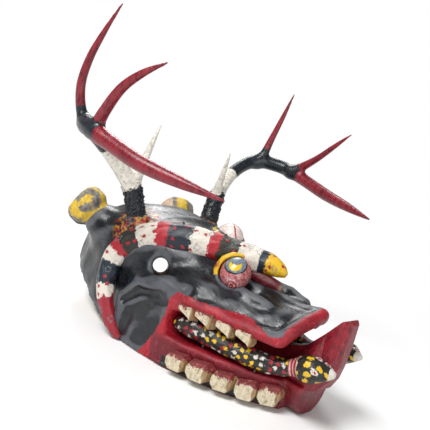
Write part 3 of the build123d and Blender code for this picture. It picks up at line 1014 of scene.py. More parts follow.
# Old enamel on rubbed wood: the yellow holds only in flakes with sharp edges, the bare grain is grey
# and dry, and the black round the back is dull. The left ear was left pale behind.
ear_paint, t, spot, shader = finish("flaking_enamel_on_wood")
grain = node(
    t, "ShaderNodeTexNoise",
    Vector=node(t, "ShaderNodeVectorMath", {"operation": "DIVIDE"}, i0=spot, i1=(1, 1, 5)),
    Scale=1 / (1.6 * MM), Detail=4, Roughness=0.6,
).outputs[0]
rubbed_wood = node(
    t, "ShaderNodeMix", {"data_type": "RGBA"},
    i0=node(
        t, "ShaderNodeMapRange",
        i0=node(t, "ShaderNodeTexNoise", Vector=spot, Scale=1 / (5 * MM), Detail=5, Roughness=0.7), i1=0.36,
        i2=0.6,
    ),
    i6="#4d4a46", i7="#8b857c",
).outputs[2]
flakes = node(
    t, "ShaderNodeMath", {"operation": "MULTIPLY_ADD"},
    i0=node(t, "ShaderNodeTexNoise", Vector=spot, Scale=1 / (9 * MM), Detail=5, Roughness=0.68), i1=14.0,
    i2=-7.0,
).outputs[0]
ring = node(
    t, "ShaderNodeMath", {"operation": "ADD"},
    i0=node(
        t, "ShaderNodeMath", {"operation": "ABSOLUTE"},
        i0=node(
            t, "ShaderNodeMath", {"operation": "SUBTRACT"},
            i0=node(t, "ShaderNodeAttribute", {"attribute_name": "off_centre"}).outputs["Fac"], i1=18,
        ),
    ),
    i1=flakes,
).outputs[0]
yellow = node(
    t, "ShaderNodeMix", {"data_type": "RGBA"}, i0=node(t, "ShaderNodeMapRange", i0=grain, i1=0.35, i2=0.6),
    i6="#b8952a", i7="#dcb93c",
).outputs[2]
patch = node(
    t, "ShaderNodeMapRange",
    i0=node(t, "ShaderNodeTexNoise", Vector=spot, Scale=1 / (12 * MM), Detail=4, Roughness=0.62), i1=0.58,
    i2=0.6,
).outputs[0]
face = node(
    t, "ShaderNodeMix", {"data_type": "RGBA"},
    i0=node(
        t, "ShaderNodeMath", {"operation": "MAXIMUM"},
        i0=node(t, "ShaderNodeMapRange", i0=ring, i1=4.2, i2=3.4), i1=patch,
    ),
    i6=rubbed_wood, i7=yellow,
).outputs[2]
bare_wood = node(
    t, "ShaderNodeMix", {"data_type": "RGBA"},
    i0=node(
        t, "ShaderNodeMapRange",
        i0=node(
            t, "ShaderNodeTexNoise",
            Vector=node(t, "ShaderNodeVectorMath", {"operation": "DIVIDE"}, i0=spot, i1=(1, 1, 6)),
            Scale=1 / (2.4 * MM), Detail=4, Roughness=0.65,
        ),
        i1=0.34, i2=0.6,
    ),
    i6="#a5836a", i7="#d9bda4",
).outputs[2]
black = node(
    t, "ShaderNodeMix", {"data_type": "RGBA"},
    i0=node(
        t, "ShaderNodeMapRange",
        i0=node(t, "ShaderNodeTexNoise", Vector=spot, Scale=1 / (6 * MM), Detail=4, Roughness=0.55), i1=0.4,
        i2=0.68,
    ),
    i6="#14171a", i7="#34393e",
).outputs[2]
sides = node(
    t, "ShaderNodeMix", {"data_type": "RGBA"},
    i0=node(
        t, "ShaderNodeMath", {"operation": "MULTIPLY"},
        i0=node(t, "ShaderNodeAttribute", {"attribute_name": "far_side"}).outputs["Fac"],
        i1=node(
            t, "ShaderNodeMapRange",
            i0=node(t, "ShaderNodeAttribute", {"attribute_name": "from_end"}).outputs["Fac"], i1=27, i2=24,
        ),
    ),
    i6=black, i7=bare_wood,
).outputs[2]
face_share = node(
    t, "ShaderNodeMapRange",
    i0=node(
        t, "ShaderNodeMath", {"operation": "MULTIPLY_ADD"}, i0=flakes, i1=0.6,
        i2=node(t, "ShaderNodeAttribute", {"attribute_name": "front"}).outputs["Fac"],
    ),
    i1=1.5, i2=2.5,
).outputs[0]
colour = node(t, "ShaderNodeMix", {"data_type": "RGBA"}, i0=face_share, i6=sides, i7=face).outputs[2]
t.links.new(colour, shader.inputs["Base Color"])
t.links.new(
    node(t, "ShaderNodeMath", {"operation": "MULTIPLY_ADD"}, i0=grain, i1=0.3, i2=0.42).outputs[0],
    shader.inputs["Roughness"],
)
marks = node(
    t, "ShaderNodeBump",
    Height=node(
        t, "ShaderNodeTexNoise",
        Vector=node(t, "ShaderNodeVectorMath", {"operation": "DIVIDE"}, i0=spot, i1=(1, 1, 4)),
        Scale=1 / (3.5 * MM), Detail=4, Roughness=0.65,
    ),
    Distance=0.9 * MM,
)
marks = node(
    t, "ShaderNodeBump", Height=node(t, "ShaderNodeMapRange", i0=ring, i1=4.4, i2=3.2), Distance=0.25 * MM,
    Normal=marks,
)
t.links.new(marks.outputs[0], shader.inputs["Normal"])
for word, mesh in ear_meshes.items():
    piece(f"{word}_ear_knob", mesh, ear_paint, "ear_paint", f"{word}_ear")

# ---------------------------------------------------------------- right_eyeball, left_eyeball
# Whittled wooden balls sunk in sockets. The right one has a grey iris with a yellow crescent, over
# curved red, pink and white strokes; the left one is pale with a red stroke and a dark red dot.
EYES = {"right": (RIGHT_EYE, (-0.576, -0.209, 0.79)), "left": (LEFT_EYE, (0.1, 0.55, 0.83))}
eye_paint, t, spot, shader = finish("varnished_enamel_on_ball")
wobble = node(
    t, "ShaderNodeMath", {"operation": "MULTIPLY_ADD"},
    i0=node(t, "ShaderNodeTexNoise", Vector=spot, Scale=1 / (5 * MM), Detail=3, Roughness=0.55), i1=3.0,
    i2=-1.5,
).outputs[0]
down = node(
    t, "ShaderNodeMath", {"operation": "ADD"},
    i0=node(t, "ShaderNodeAttribute", {"attribute_name": "down"}).outputs["Fac"], i1=wobble,
).outputs[0]
strokes = node(
    t, "ShaderNodeTexNoise", {"noise_dimensions": "1D"},
    W=node(t, "ShaderNodeMath", {"operation": "MULTIPLY"}, i0=down, i1=0.42), Detail=2.0,
).outputs["Fac"]
red = node(
    t, "ShaderNodeMix", {"data_type": "RGBA"},
    i0=node(
        t, "ShaderNodeMapRange",
        i0=node(t, "ShaderNodeTexNoise", Vector=spot, Scale=1 / (2.2 * MM), Detail=3, Roughness=0.55),
        i1=0.35, i2=0.65,
    ),
    i6="#8a0f1c", i7="#b42030",
).outputs[2]
ball = node(
    t, "ShaderNodeMix", {"data_type": "RGBA"},
    i0=node(
        t, "ShaderNodeMath", {"operation": "MULTIPLY"},
        i0=node(t, "ShaderNodeMapRange", i0=strokes, i1=0.52, i2=0.56),
        i1=node(
            t, "ShaderNodeMapRange",
            i0=node(t, "ShaderNodeTexNoise", Vector=spot, Scale=1 / (3 * MM), Detail=4, Roughness=0.7),
            i1=0.38, i2=0.5,
        ),
    ),
    i6=red, i7="#dcc0be",
).outputs[2]
ball = node(
    t, "ShaderNodeMix", {"data_type": "RGBA"},
    i0=node(
        t, "ShaderNodeMath", {"operation": "MULTIPLY"},
        i0=node(t, "ShaderNodeMapRange", i0=strokes, i1=0.4, i2=0.34), i1=0.8,
    ),
    i6=ball, i7="#3a1518",
).outputs[2]
disc = node(
    t, "ShaderNodeMath", {"operation": "ADD"},
    i0=node(t, "ShaderNodeAttribute", {"attribute_name": "disc"}).outputs["Fac"],
    i1=node(t, "ShaderNodeMath", {"operation": "MULTIPLY"}, i0=wobble, i1=0.02),
).outputs[0]
iris = node(
    t, "ShaderNodeMix", {"data_type": "RGBA"},
    i0=node(
        t, "ShaderNodeMapRange",
        i0=node(t, "ShaderNodeTexNoise", Vector=spot, Scale=1 / (3 * MM), Detail=3, Roughness=0.55),
        i1=0.35, i2=0.65,
    ),
    i6="#55646f", i7="#8493a0",
).outputs[2]
moon = node(
    t, "ShaderNodeMath", {"operation": "MAXIMUM"},
    i0=node(
        t, "ShaderNodeMath", {"operation": "SUBTRACT"},
        i0=node(t, "ShaderNodeAttribute", {"attribute_name": "moon"}).outputs["Fac"], i1=6.6,
    ),
    i1=node(
        t, "ShaderNodeMath", {"operation": "SUBTRACT"}, i0=5.4,
        i1=node(t, "ShaderNodeAttribute", {"attribute_name": "bite"}).outputs["Fac"],
    ),
).outputs[0]
iris = node(
    t, "ShaderNodeMix", {"data_type": "RGBA"},
    i0=node(
        t, "ShaderNodeMapRange",
        i0=node(
            t, "ShaderNodeMath", {"operation": "ADD"}, i0=moon,
            i1=node(t, "ShaderNodeMath", {"operation": "MULTIPLY"}, i0=wobble, i1=0.4),
        ),
        i1=0.5, i2=-0.3,
    ),
    i6=iris, i7="#dcb422",
).outputs[2]
near = node(
    t, "ShaderNodeMix", {"data_type": "RGBA"}, i0=node(t, "ShaderNodeMapRange", i0=disc, i1=0.7, i2=0.73),
    i6=ball, i7="#141312",
).outputs[2]
near = node(
    t, "ShaderNodeMix", {"data_type": "RGBA"}, i0=node(t, "ShaderNodeMapRange", i0=disc, i1=0.76, i2=0.79),
    i6=near, i7=iris,
).outputs[2]
pale = node(
    t, "ShaderNodeMix", {"data_type": "RGBA"},
    i0=node(
        t, "ShaderNodeMapRange",
        i0=node(t, "ShaderNodeTexNoise", Vector=spot, Scale=1 / (4 * MM), Detail=3, Roughness=0.55),
        i1=0.35, i2=0.6,
    ),
    i6="#d9bfba", i7="#f0e4dd",
).outputs[2]
pale = node(
    t, "ShaderNodeMix", {"data_type": "RGBA"},
    i0=node(
        t, "ShaderNodeMapRange",
        i0=node(
            t, "ShaderNodeMath", {"operation": "ABSOLUTE"},
            i0=node(t, "ShaderNodeMath", {"operation": "ADD"}, i0=down, i1=3.5),
        ),
        i1=1.6, i2=1.0,
    ),
    i6=pale, i7="#a3242f",
).outputs[2]
pale = node(
    t, "ShaderNodeMix", {"data_type": "RGBA"},
    i0=node(
        t, "ShaderNodeMapRange",
        i0=node(t, "ShaderNodeAttribute", {"attribute_name": "bite"}).outputs["Fac"], i1=3.4, i2=2.8,
    ),
    i6=pale, i7="#6b121b",
).outputs[2]
colour = node(
    t, "ShaderNodeMix", {"data_type": "RGBA"},
    i0=node(t, "ShaderNodeAttribute", {"attribute_name": "left_one"}).outputs["Fac"], i6=near, i7=pale,
).outputs[2]
t.links.new(colour, shader.inputs["Base Color"])
t.links.new(
    node(
        t, "ShaderNodeMath", {"operation": "MULTIPLY_ADD"},
        i0=node(t, "ShaderNodeTexNoise", Vector=spot, Scale=1 / (6 * MM), Detail=2, Roughness=0.55), i1=0.2,
        i2=0.1,
    ).outputs[0],
    shader.inputs["Roughness"],
)
shader.inputs["Coat Weight"].default_value = 0.35
shader.inputs["Coat Roughness"].default_value = 0.12
marks = node(
    t, "ShaderNodeBump",
    Height=node(t, "ShaderNodeTexNoise", Vector=spot, Scale=1 / (3.2 * MM), Detail=3, Roughness=0.6),
    Distance=0.5 * MM,
)
t.links.new(marks.outputs[0], shader.inputs["Normal"])
for word, (centre, axis) in EYES.items():
    eye = Block(centre - 21, centre + 21, 0.9)
    tilt = Vector(axis).to_track_quat("Z", "Y")
    eye.ball(centre, (15.6, 17.6, 16.4), tilt)
    mesh, points = eye.mesh("eye")
    out = (points - centre) / np.linalg.norm(points - centre, axis=1)[:, None]
    axis = np.array(axis) / np.linalg.norm(axis)
    below = np.cross(axis, np.cross((-0.53, -0.43, -0.73), axis))
    below /= np.linalg.norm(below)
    across = np.cross(axis, below)
    mark(mesh, "disc", out @ axis)
    mark(mesh, "down", (points - centre) @ below * 1.2 - 12 * (out @ across) ** 2)
    mark(mesh, "moon", np.linalg.norm((points - centre) - 17 * axis - 3 * below, axis=1))
    mark(mesh, "bite", np.linalg.norm((points - centre) - 17 * axis + 2.2 * below, axis=1))
    mark(mesh, "left_one", np.full(len(points), float(word == "left")))
    piece(f"{word}_eye_ball", mesh, eye_paint, "eye_paint", f"{word}_eyeball")

# ---------------------------------------------------------------- brow_snake
# A snake carved from a bent root, thick over the brow and thin at both ends, nailed along the face.
# It is painted in uneven bands of red, white, navy and olive black, dotted over, with a yellow head.
BROW_SNAKE = [
    ((-90, 12, 2.5), 2.5), ((-93, 20, 8), 5), ((-96, 32, 22), 7), ((-96, 45, 42), 9), ((-90, 54, 64), 11),
    ((-82, 53, 83), 13.5), ((-71, 43, 98), 15.5), ((-60, 27, 108), 17), ((-49, 6, 114), 17.5),
    ((-37, -14, 117), 16.5), ((-25, -33, 118), 15), ((-13, -52, 118), 14.5), ((-4, -70, 119), 12.5),
    ((0, -82, 119), 10.5), ((2, -92, 117), 7.5), ((3, -99, 115), 3),
]


def tube(name, line, out, flat=None, sides=56, spacing=1.3):
    """A carved round limb with its run and its way round stored in millimetres; out is its top."""
    places, radii = smooth_line([p for p, r in line], [r for p, r in line], spacing)
    run = along(places)
    ahead = np.gradient(places, axis=0)
    ahead /= np.linalg.norm(ahead, axis=1)[:, None]
    out = np.array(out, float)
    top = out - ahead * (ahead @ out)[:, None]
    top /= np.linalg.norm(top, axis=1)[:, None]
    across = np.cross(ahead, top)
    turn = np.linspace(-np.pi, np.pi, sides, endpoint=False)
    thick = np.ones(len(run)) if flat is None else np.interp(run, *flat)
    knife = 0.35 * np.sin(run[:, None] * 0.31 + 2 * np.sin(turn * 3))
    knife = knife + 0.3 * np.sin(turn * 7 + run[:, None] * 0.07)
    r = radii[:, None] + knife * np.minimum(radii / 12, 1)[:, None]
    ring = r[..., None] * (np.cos(turn)[None, :, None] * top[:, None] * thick[:, None, None]
                           + np.sin(turn)[None, :, None] * across[:, None])
    verts = np.vstack([(places[:, None] + ring).reshape(-1, 3), places[:1], places[-1:]])
    n, m = len(run), sides
    i, j = (a.ravel() for a in np.meshgrid(np.arange(n - 1), np.arange(m), indexing="ij"))
    quads = np.stack([i * m + j, i * m + (j + 1) % m, (i + 1) * m + (j + 1) % m, (i + 1) * m + j], 1)
    ends = [(n * m, (j + 1) % m, j) for j in range(m)]
    ends += [(n * m + 1, (n - 1) * m + j, (n - 1) * m + (j + 1) % m) for j in range(m)]
    mesh = bpy.data.meshes.new(name)
    mesh.from_pydata(metres(verts).tolist(), [], quads.tolist() + ends)
    work = bmesh.new()
    work.from_mesh(mesh)
    bmesh.ops.recalc_face_normals(work, faces=work.faces)
    work.to_mesh(mesh)
    work.free()
    mesh.polygons.foreach_set("use_smooth", np.ones(len(mesh.polygons), bool))
    round_it = (turn[None, :] * radii[:, None]).ravel()
    mark(mesh, "run", np.r_[np.repeat(run, m), run[0], run[-1]])
    mark(mesh, "round", np.r_[round_it, 0, 0])
    return mesh, run


# Each band: where it ends, in millimetres from the tail, and its colour.
SNAKE_BANDS = [
    (44, "#96202e"), (58, "#d8d0c4"), (83, "#1c2733"), (96, "#d8d0c4"), (104, "#a51e2b"), (123, "#26251e"),
    (144, "#d8d0c4"), (156, "#b01f2c"), (180, "#18222d"), (199, "#d8d0c4"), (209, "#ab1f2b"),
    (230, "#2a2a20"), (254, "#d8d0c4"), (262, "#1c2733"), (300, "#dcb01e"),
]
BANDS_END = SNAKE_BANDS[-1][0]


def bands(t, run, length, edges):
    """Flat bands of colour along a run, each with its own end."""
    n = node(
        t, "ShaderNodeValToRGB", Fac=node(t, "ShaderNodeMath", {"operation": "DIVIDE"}, i0=run, i1=length),
    )
    n.color_ramp.interpolation = "CONSTANT"
    stops = n.color_ramp.elements
    start = 0
    for k, (end, colour) in enumerate(edges):
        stop = stops[k] if k < 2 else stops.new(start / length)
        stop.position = start / length
        stop.color = linear(colour)
        start = end
    return n.outputs["Color"]


def dabs(t, run, round_it, spacing, offset=0.0):
    """Hand-set spots: how far each place is from its spot's middle, 0 to about 0.7, and its number."""
    where = node(
        t, "ShaderNodeCombineXYZ", X=node(t, "ShaderNodeMath", {"operation": "ADD"}, i0=run, i1=offset),
        Y=round_it,
    ).outputs[0]
    shake = node(
        t, "ShaderNodeTexNoise", {"noise_dimensions": "2D"}, Vector=where, Scale=0.42, Detail=2.0,
    ).outputs["Color"]
    shake = node(
        t, "ShaderNodeVectorMath", {"operation": "SUBTRACT"}, i0=shake, i1=(0.5, 0.5, 0.5),
    ).outputs[0]
    where = node(
        t, "ShaderNodeVectorMath", {"operation": "MULTIPLY_ADD"}, i0=shake, i1=(5, 5, 0), i2=where,
    ).outputs[0]
    n = node(
        t, "ShaderNodeTexVoronoi", {"voronoi_dimensions": "2D"}, Vector=where, Scale=1 / spacing,
        Randomness=0.62,
    )
    number = node(t, "ShaderNodeSeparateColor", Color=n.outputs["Color"]).outputs["Red"]
    return n.outputs["Distance"], number


# Brushed oil enamel in bands: the whites are thick and chalky and stop at torn edges, the darks thin
# and glossier; each dot is one dab of a small brush, some of them a ring round a dot.
snake_paint, t, spot, shader = finish("banded_enamel_on_wood")
torn = node(
    t, "ShaderNodeMath", {"operation": "MULTIPLY_ADD"},
    i0=node(t, "ShaderNodeTexNoise", Vector=spot, Scale=1 / (6 * MM), Detail=5, Roughness=0.75), i1=15.0,
    i2=-7.5,
).outputs[0]
run = node(
    t, "ShaderNodeMath", {"operation": "ADD"},
    i0=node(t, "ShaderNodeAttribute", {"attribute_name": "run"}).outputs["Fac"], i1=torn,
).outputs[0]
base = bands(t, run, BANDS_END, SNAKE_BANDS)
brushed = node(
    t, "ShaderNodeTexNoise", Vector=spot, Scale=1 / (2.2 * MM), Detail=4, Roughness=0.65,
).outputs[0]
base = node(
    t, "ShaderNodeMix", {"data_type": "RGBA"},
    i0=node(
        t, "ShaderNodeMath", {"operation": "MULTIPLY"},
        i0=node(t, "ShaderNodeMapRange", i0=brushed, i1=0.46, i2=0.32), i1=0.4,
    ),
    i6=base, i7="#0d0f12",
).outputs[2]
base = node(
    t, "ShaderNodeMix", {"data_type": "RGBA"},
    i0=node(
        t, "ShaderNodeMath", {"operation": "MULTIPLY"},
        i0=node(
            t, "ShaderNodeMapRange",
            i0=node(t, "ShaderNodeTexNoise", Vector=spot, Scale=1 / (1.4 * MM), Detail=3, Roughness=0.7),
            i1=0.62, i2=0.72,
        ),
        i1=0.25,
    ),
    i6=base, i7="#8f8a80",
).outputs[2]
away, number = dabs(
    t, node(t, "ShaderNodeAttribute", {"attribute_name": "run"}).outputs["Fac"],
    node(t, "ShaderNodeAttribute", {"attribute_name": "round"}).outputs["Fac"], 10.5,
)
uneven = node(
    t, "ShaderNodeMath", {"operation": "MULTIPLY_ADD"},
    i0=node(t, "ShaderNodeTexNoise", Vector=spot, Scale=1 / (3 * MM), Detail=2, Roughness=0.55), i1=0.2,
    i2=-0.1,
).outputs[0]
away = node(t, "ShaderNodeMath", {"operation": "ADD"}, i0=away, i1=uneven).outputs[0]
dot = node(
    t, "ShaderNodeMath", {"operation": "MULTIPLY"},
    i0=node(t, "ShaderNodeMapRange", i0=away, i1=0.2, i2=0.16),
    i1=node(t, "ShaderNodeMapRange", i0=number, i1=0.4, i2=0.42),
).outputs[0]
ring = node(
    t, "ShaderNodeMath", {"operation": "MULTIPLY"},
    i0=node(
        t, "ShaderNodeMapRange",
        i0=node(
            t, "ShaderNodeMath", {"operation": "ABSOLUTE"},
            i0=node(t, "ShaderNodeMath", {"operation": "SUBTRACT"}, i0=away, i1=0.27),
        ),
        i1=0.06, i2=0.035,
    ),
    i1=node(t, "ShaderNodeMapRange", i0=number, i1=0.26, i2=0.24),
).outputs[0]
colour = node(
    t, "ShaderNodeMix", {"data_type": "RGBA"},
    i0=node(t, "ShaderNodeMath", {"operation": "MULTIPLY"}, i0=ring, i1=0.7), i6=base, i7="#767a7c",
).outputs[2]
colour = node(t, "ShaderNodeMix", {"data_type": "RGBA"}, i0=dot, i6=colour, i7="#a81f2c").outputs[2]
t.links.new(colour, shader.inputs["Base Color"])
t.links.new(
    node(t, "ShaderNodeMath", {"operation": "MULTIPLY_ADD"}, i0=brushed, i1=0.35, i2=0.2).outputs[0],
    shader.inputs["Roughness"],
)
marks = node(t, "ShaderNodeBump", Height=brushed, Distance=0.45 * MM)
marks = node(t, "ShaderNodeBump", Height=dot, Distance=0.3 * MM, Normal=marks)
t.links.new(marks.outputs[0], shader.inputs["Normal"])
mesh = tube("snake", BROW_SNAKE, (-0.8, -0.3, 0.5))[0]
piece("brow_snake_body", mesh, snake_paint, "snake_paint", "brow_snake")

# its lower jaw is a strip of its own, maroon and rubbed bare at the very end
SNAKE_JAW = [
    ((-14, -56, 106), 4), ((-9, -66, 105), 6.5), ((-4, -78, 103), 7), ((0, -90, 101), 6.5),
    ((2, -100, 100), 3.5),
]
mesh, run = tube("snake_jaw", SNAKE_JAW, (-0.5, -0.3, 0.8), sides=32)
jaw_long = float(run[-1])
mouth_red, t, spot, shader = finish("maroon_enamel_on_wood")
brushed = node(
    t, "ShaderNodeTexNoise", Vector=spot, Scale=1 / (2.2 * MM), Detail=4, Roughness=0.65,
).outputs[0]
colour = node(
    t, "ShaderNodeMix", {"data_type": "RGBA"},
    i0=node(
        t, "ShaderNodeMapRange",
        i0=node(t, "ShaderNodeAttribute", {"attribute_name": "run"}).outputs["Fac"], i1=jaw_long - 4,
        i2=jaw_long,
    ),
    i6=node(
        t, "ShaderNodeMix", {"data_type": "RGBA"},
        i0=node(t, "ShaderNodeMapRange", i0=brushed, i1=0.35, i2=0.65), i6="#3a0d14", i7="#6e1a24",
    ).outputs[2],
    i7="#8d7468",
).outputs[2]
t.links.new(colour, shader.inputs["Base Color"])
t.links.new(
    node(t, "ShaderNodeMath", {"operation": "MULTIPLY_ADD"}, i0=brushed, i1=0.3, i2=0.28).outputs[0],
    shader.inputs["Roughness"],
)
marks = node(t, "ShaderNodeBump", Height=brushed, Distance=0.5 * MM)
t.links.new(marks.outputs[0], shader.inputs["Normal"])
piece("brow_snake_jaw", mesh, mouth_red, "snake_paint")

# ---------------------------------------------------------------- right_mouth_snake, left_mouth_snake
# Two thinner snakes that lie in the mouth beside the tongue, nailed to its floor, black with dabs of
# yellow, white and red, a striped neck and a flat leaf-shaped head that comes out past the lip.
MOUTH_SNAKES = {
    "right": [((-71, -40, 43), 5), ((-69, -54, 45), 9.5), ((-64, -75, 45), 10), ((-56, -100, 43), 9.5),
              ((-46, -128, 42), 9.5), ((-38, -146, 44), 8.5), ((-33, -158, 48), 8), ((-31, -168, 52), 13),
              ((-29, -178, 55), 14), ((-26, -188, 57), 9.5), ((-24, -196, 58), 3)],
    "left": [((71, -40, 43), 5), ((69, -54, 44), 9), ((64, -75, 43), 9.5), ((56, -100, 42), 9.5),
             ((46, -126, 43), 9.5), ((38, -144, 49), 8.5), ((33, -156, 56), 8), ((31, -166, 61), 11.5),
             ((29, -176, 65), 12), ((26, -186, 67), 7.5), ((24, -193, 68), 2.5)],
}
HEAD_LONG = 38  # from the middle of the striped neck to the snout
spotted, t, spot, shader = finish("spotted_enamel_on_wood")
brushed = node(
    t, "ShaderNodeTexNoise", Vector=spot, Scale=1 / (2.2 * MM), Detail=4, Roughness=0.65,
).outputs[0]
black = node(
    t, "ShaderNodeMix", {"data_type": "RGBA"},
    i0=node(t, "ShaderNodeMapRange", i0=brushed, i1=0.38, i2=0.66), i6="#12120f", i7="#2b2c28",
).outputs[2]
uneven = node(
    t, "ShaderNodeMath", {"operation": "MULTIPLY_ADD"},
    i0=node(t, "ShaderNodeTexNoise", Vector=spot, Scale=1 / (2.5 * MM), Detail=2, Roughness=0.55), i1=0.24,
    i2=-0.12,
).outputs[0]
away, number = dabs(
    t, node(t, "ShaderNodeAttribute", {"attribute_name": "run"}).outputs["Fac"],
    node(t, "ShaderNodeAttribute", {"attribute_name": "round"}).outputs["Fac"], 6.8,
)
dab_colour = bands(t, number, 1.0, [(0.34, "#dfb51f"), (0.66, "#cfc8bd"), (1.0, "#a31f2c")])
dabbed = node(
    t, "ShaderNodeMapRange", i0=node(t, "ShaderNodeMath", {"operation": "ADD"}, i0=away, i1=uneven),
    i1=0.34, i2=0.27,
).outputs[0]
body = node(t, "ShaderNodeMix", {"data_type": "RGBA"}, i0=dabbed, i6=black, i7=dab_colour).outputs[2]
to_neck = node(t, "ShaderNodeAttribute", {"attribute_name": "to_neck"}).outputs["Fac"]
stripe = node(
    t, "ShaderNodeMath", {"operation": "SINE"},
    i0=node(
        t, "ShaderNodeMath", {"operation": "MULTIPLY"},
        i0=node(
            t, "ShaderNodeMath", {"operation": "ADD"}, i0=to_neck,
            i1=node(t, "ShaderNodeMath", {"operation": "MULTIPLY"}, i0=uneven, i1=6.0),
        ),
        i1=1.35,
    ),
).outputs[0]
neck = node(
    t, "ShaderNodeMix", {"data_type": "RGBA"}, i0=node(t, "ShaderNodeMapRange", i0=stripe, i1=0.1, i2=0.5),
    i6="#9c2531", i7="#c9a8a2",
).outputs[2]
away, number = dabs(
    t, node(t, "ShaderNodeAttribute", {"attribute_name": "run"}).outputs["Fac"],
    node(t, "ShaderNodeAttribute", {"attribute_name": "round"}).outputs["Fac"], 9.5, 4.0,
)
away = node(
    t, "ShaderNodeMath", {"operation": "ADD"}, i0=away,
    i1=node(t, "ShaderNodeMath", {"operation": "MULTIPLY"}, i0=uneven, i1=0.6),
).outputs[0]
face = node(
    t, "ShaderNodeMix", {"data_type": "RGBA"}, i0=node(t, "ShaderNodeMapRange", i0=away, i1=0.33, i2=0.29),
    i6=black,
    i7=node(
        t, "ShaderNodeMix", {"data_type": "RGBA"},
        i0=node(t, "ShaderNodeMapRange", i0=number, i1=0.45, i2=0.47), i6="#d8d2c8", i7="#dfb51f",
    ).outputs[2],
).outputs[2]
face = node(
    t, "ShaderNodeMix", {"data_type": "RGBA"},
    i0=node(
        t, "ShaderNodeMath", {"operation": "MULTIPLY"},
        i0=node(t, "ShaderNodeMapRange", i0=away, i1=0.17, i2=0.14),
        i1=node(t, "ShaderNodeMapRange", i0=number, i1=0.47, i2=0.45),
    ),
    i6=face, i7="#a31f2c",
).outputs[2]
face = node(
    t, "ShaderNodeMix", {"data_type": "RGBA"},
    i0=node(
        t, "ShaderNodeMapRange",
        i0=node(
            t, "ShaderNodeMath", {"operation": "ADD"}, i0=to_neck,
            i1=node(t, "ShaderNodeMath", {"operation": "MULTIPLY"}, i0=uneven, i1=8.0),
        ),
        i1=HEAD_LONG - 5, i2=HEAD_LONG - 4.4,
    ),
    i6=face, i7="#d8d2c8",
).outputs[2]
colour = node(
    t, "ShaderNodeMix", {"data_type": "RGBA"}, i0=node(t, "ShaderNodeMapRange", i0=to_neck, i1=-6, i2=-5),
    i6=body, i7=neck,
).outputs[2]
colour = node(
    t, "ShaderNodeMix", {"data_type": "RGBA"},
    i0=node(
        t, "ShaderNodeMapRange",
        i0=node(
            t, "ShaderNodeMath", {"operation": "ADD"}, i0=to_neck,
            i1=node(t, "ShaderNodeMath", {"operation": "MULTIPLY"}, i0=uneven, i1=5.0),
        ),
        i1=5.5, i2=6.2,
    ),
    i6=colour, i7=face,
).outputs[2]
t.links.new(colour, shader.inputs["Base Color"])
t.links.new(
    node(t, "ShaderNodeMath", {"operation": "MULTIPLY_ADD"}, i0=brushed, i1=0.35, i2=0.18).outputs[0],
    shader.inputs["Roughness"],
)
marks = node(t, "ShaderNodeBump", Height=brushed, Distance=0.4 * MM)
marks = node(t, "ShaderNodeBump", Height=dabbed, Distance=0.3 * MM, Normal=marks)
t.links.new(marks.outputs[0], shader.inputs["Normal"])
FLATTER = [0, 120, 150, 190], [1, 1, 0.85, 0.8]  # along the run: how thick it is to how wide
for word, line in MOUTH_SNAKES.items():
    mesh, run = tube("mouth_snake", line, (0, 0.2, 1), flat=FLATTER)
    run_of = np.zeros(len(mesh.vertices), np.float32)
    mesh.attributes["run"].data.foreach_get("value", run_of)
    mark(mesh, "to_neck", run_of - (run[-1] - HEAD_LONG))
    piece(f"{word}_mouth_snake_body", mesh, spotted, "mouth_snake_paint", f"{word}_mouth_snake")

# ---------------------------------------------------------------- tongue
# One slab of wood, cut with a few long strokes of the knife into flat planes: it lies on the floor of
# the mouth, runs out over the lip and turns up to a square tip. Pegged from above, painted dark red.
# Stations: y, half width of the underside, of the edges and of the top, and the height of each.
TONGUE = [
    (-54, 13, 16, 8, 33, 39, 44), (-100, 17, 20, 9, 33, 39, 50), (-135, 20, 24, 10, 31, 40, 57),
    (-152, 21, 26, 9, 28, 40, 66), (-166, 19, 25, 8, 26, 42, 84), (-178, 14, 19, 8, 31, 50, 101),
    (-186, 8, 11, 7.5, 46, 68, 106), (-189, 5, 7, 6, 60, 80, 102),
]


def softened(work, width):
    """Knife-cut edges, worn round by a small width."""
    bmesh.ops.recalc_face_normals(work, faces=work.faces)
    edges = list(work.edges)
    bmesh.ops.bevel(
        work, geom=edges, offset=width * MM, segments=2, profile=0.6, affect="EDGES", clamp_overlap=True
    )


work = bmesh.new()
rings = []
for y, low, edge, crest, z0, z1, z2 in TONGUE:
    outline = [(-low, z0), (low, z0), (edge, z1), (crest, z2), (-crest, z2), (-edge, z1)]
    rings.append([work.verts.new(metres((x, y, z))) for x, z in outline])
for a, b in zip(rings[:-1], rings[1:]):
    for k in range(6):
        work.faces.new((a[k], a[(k + 1) % 6], b[(k + 1) % 6], b[k]))
work.faces.new(rings[0][::-1])
work.faces.new(rings[-1])
softened(work, 1.4)
mesh = bpy.data.meshes.new("tongue")
work.to_mesh(mesh)
work.free()
TIP_CUT = (-5, -184, 93)
places = np.array([v.co for v in mesh.vertices])
mark(mesh, "tip", np.linalg.norm(places - metres(TIP_CUT), axis=1) / MM)

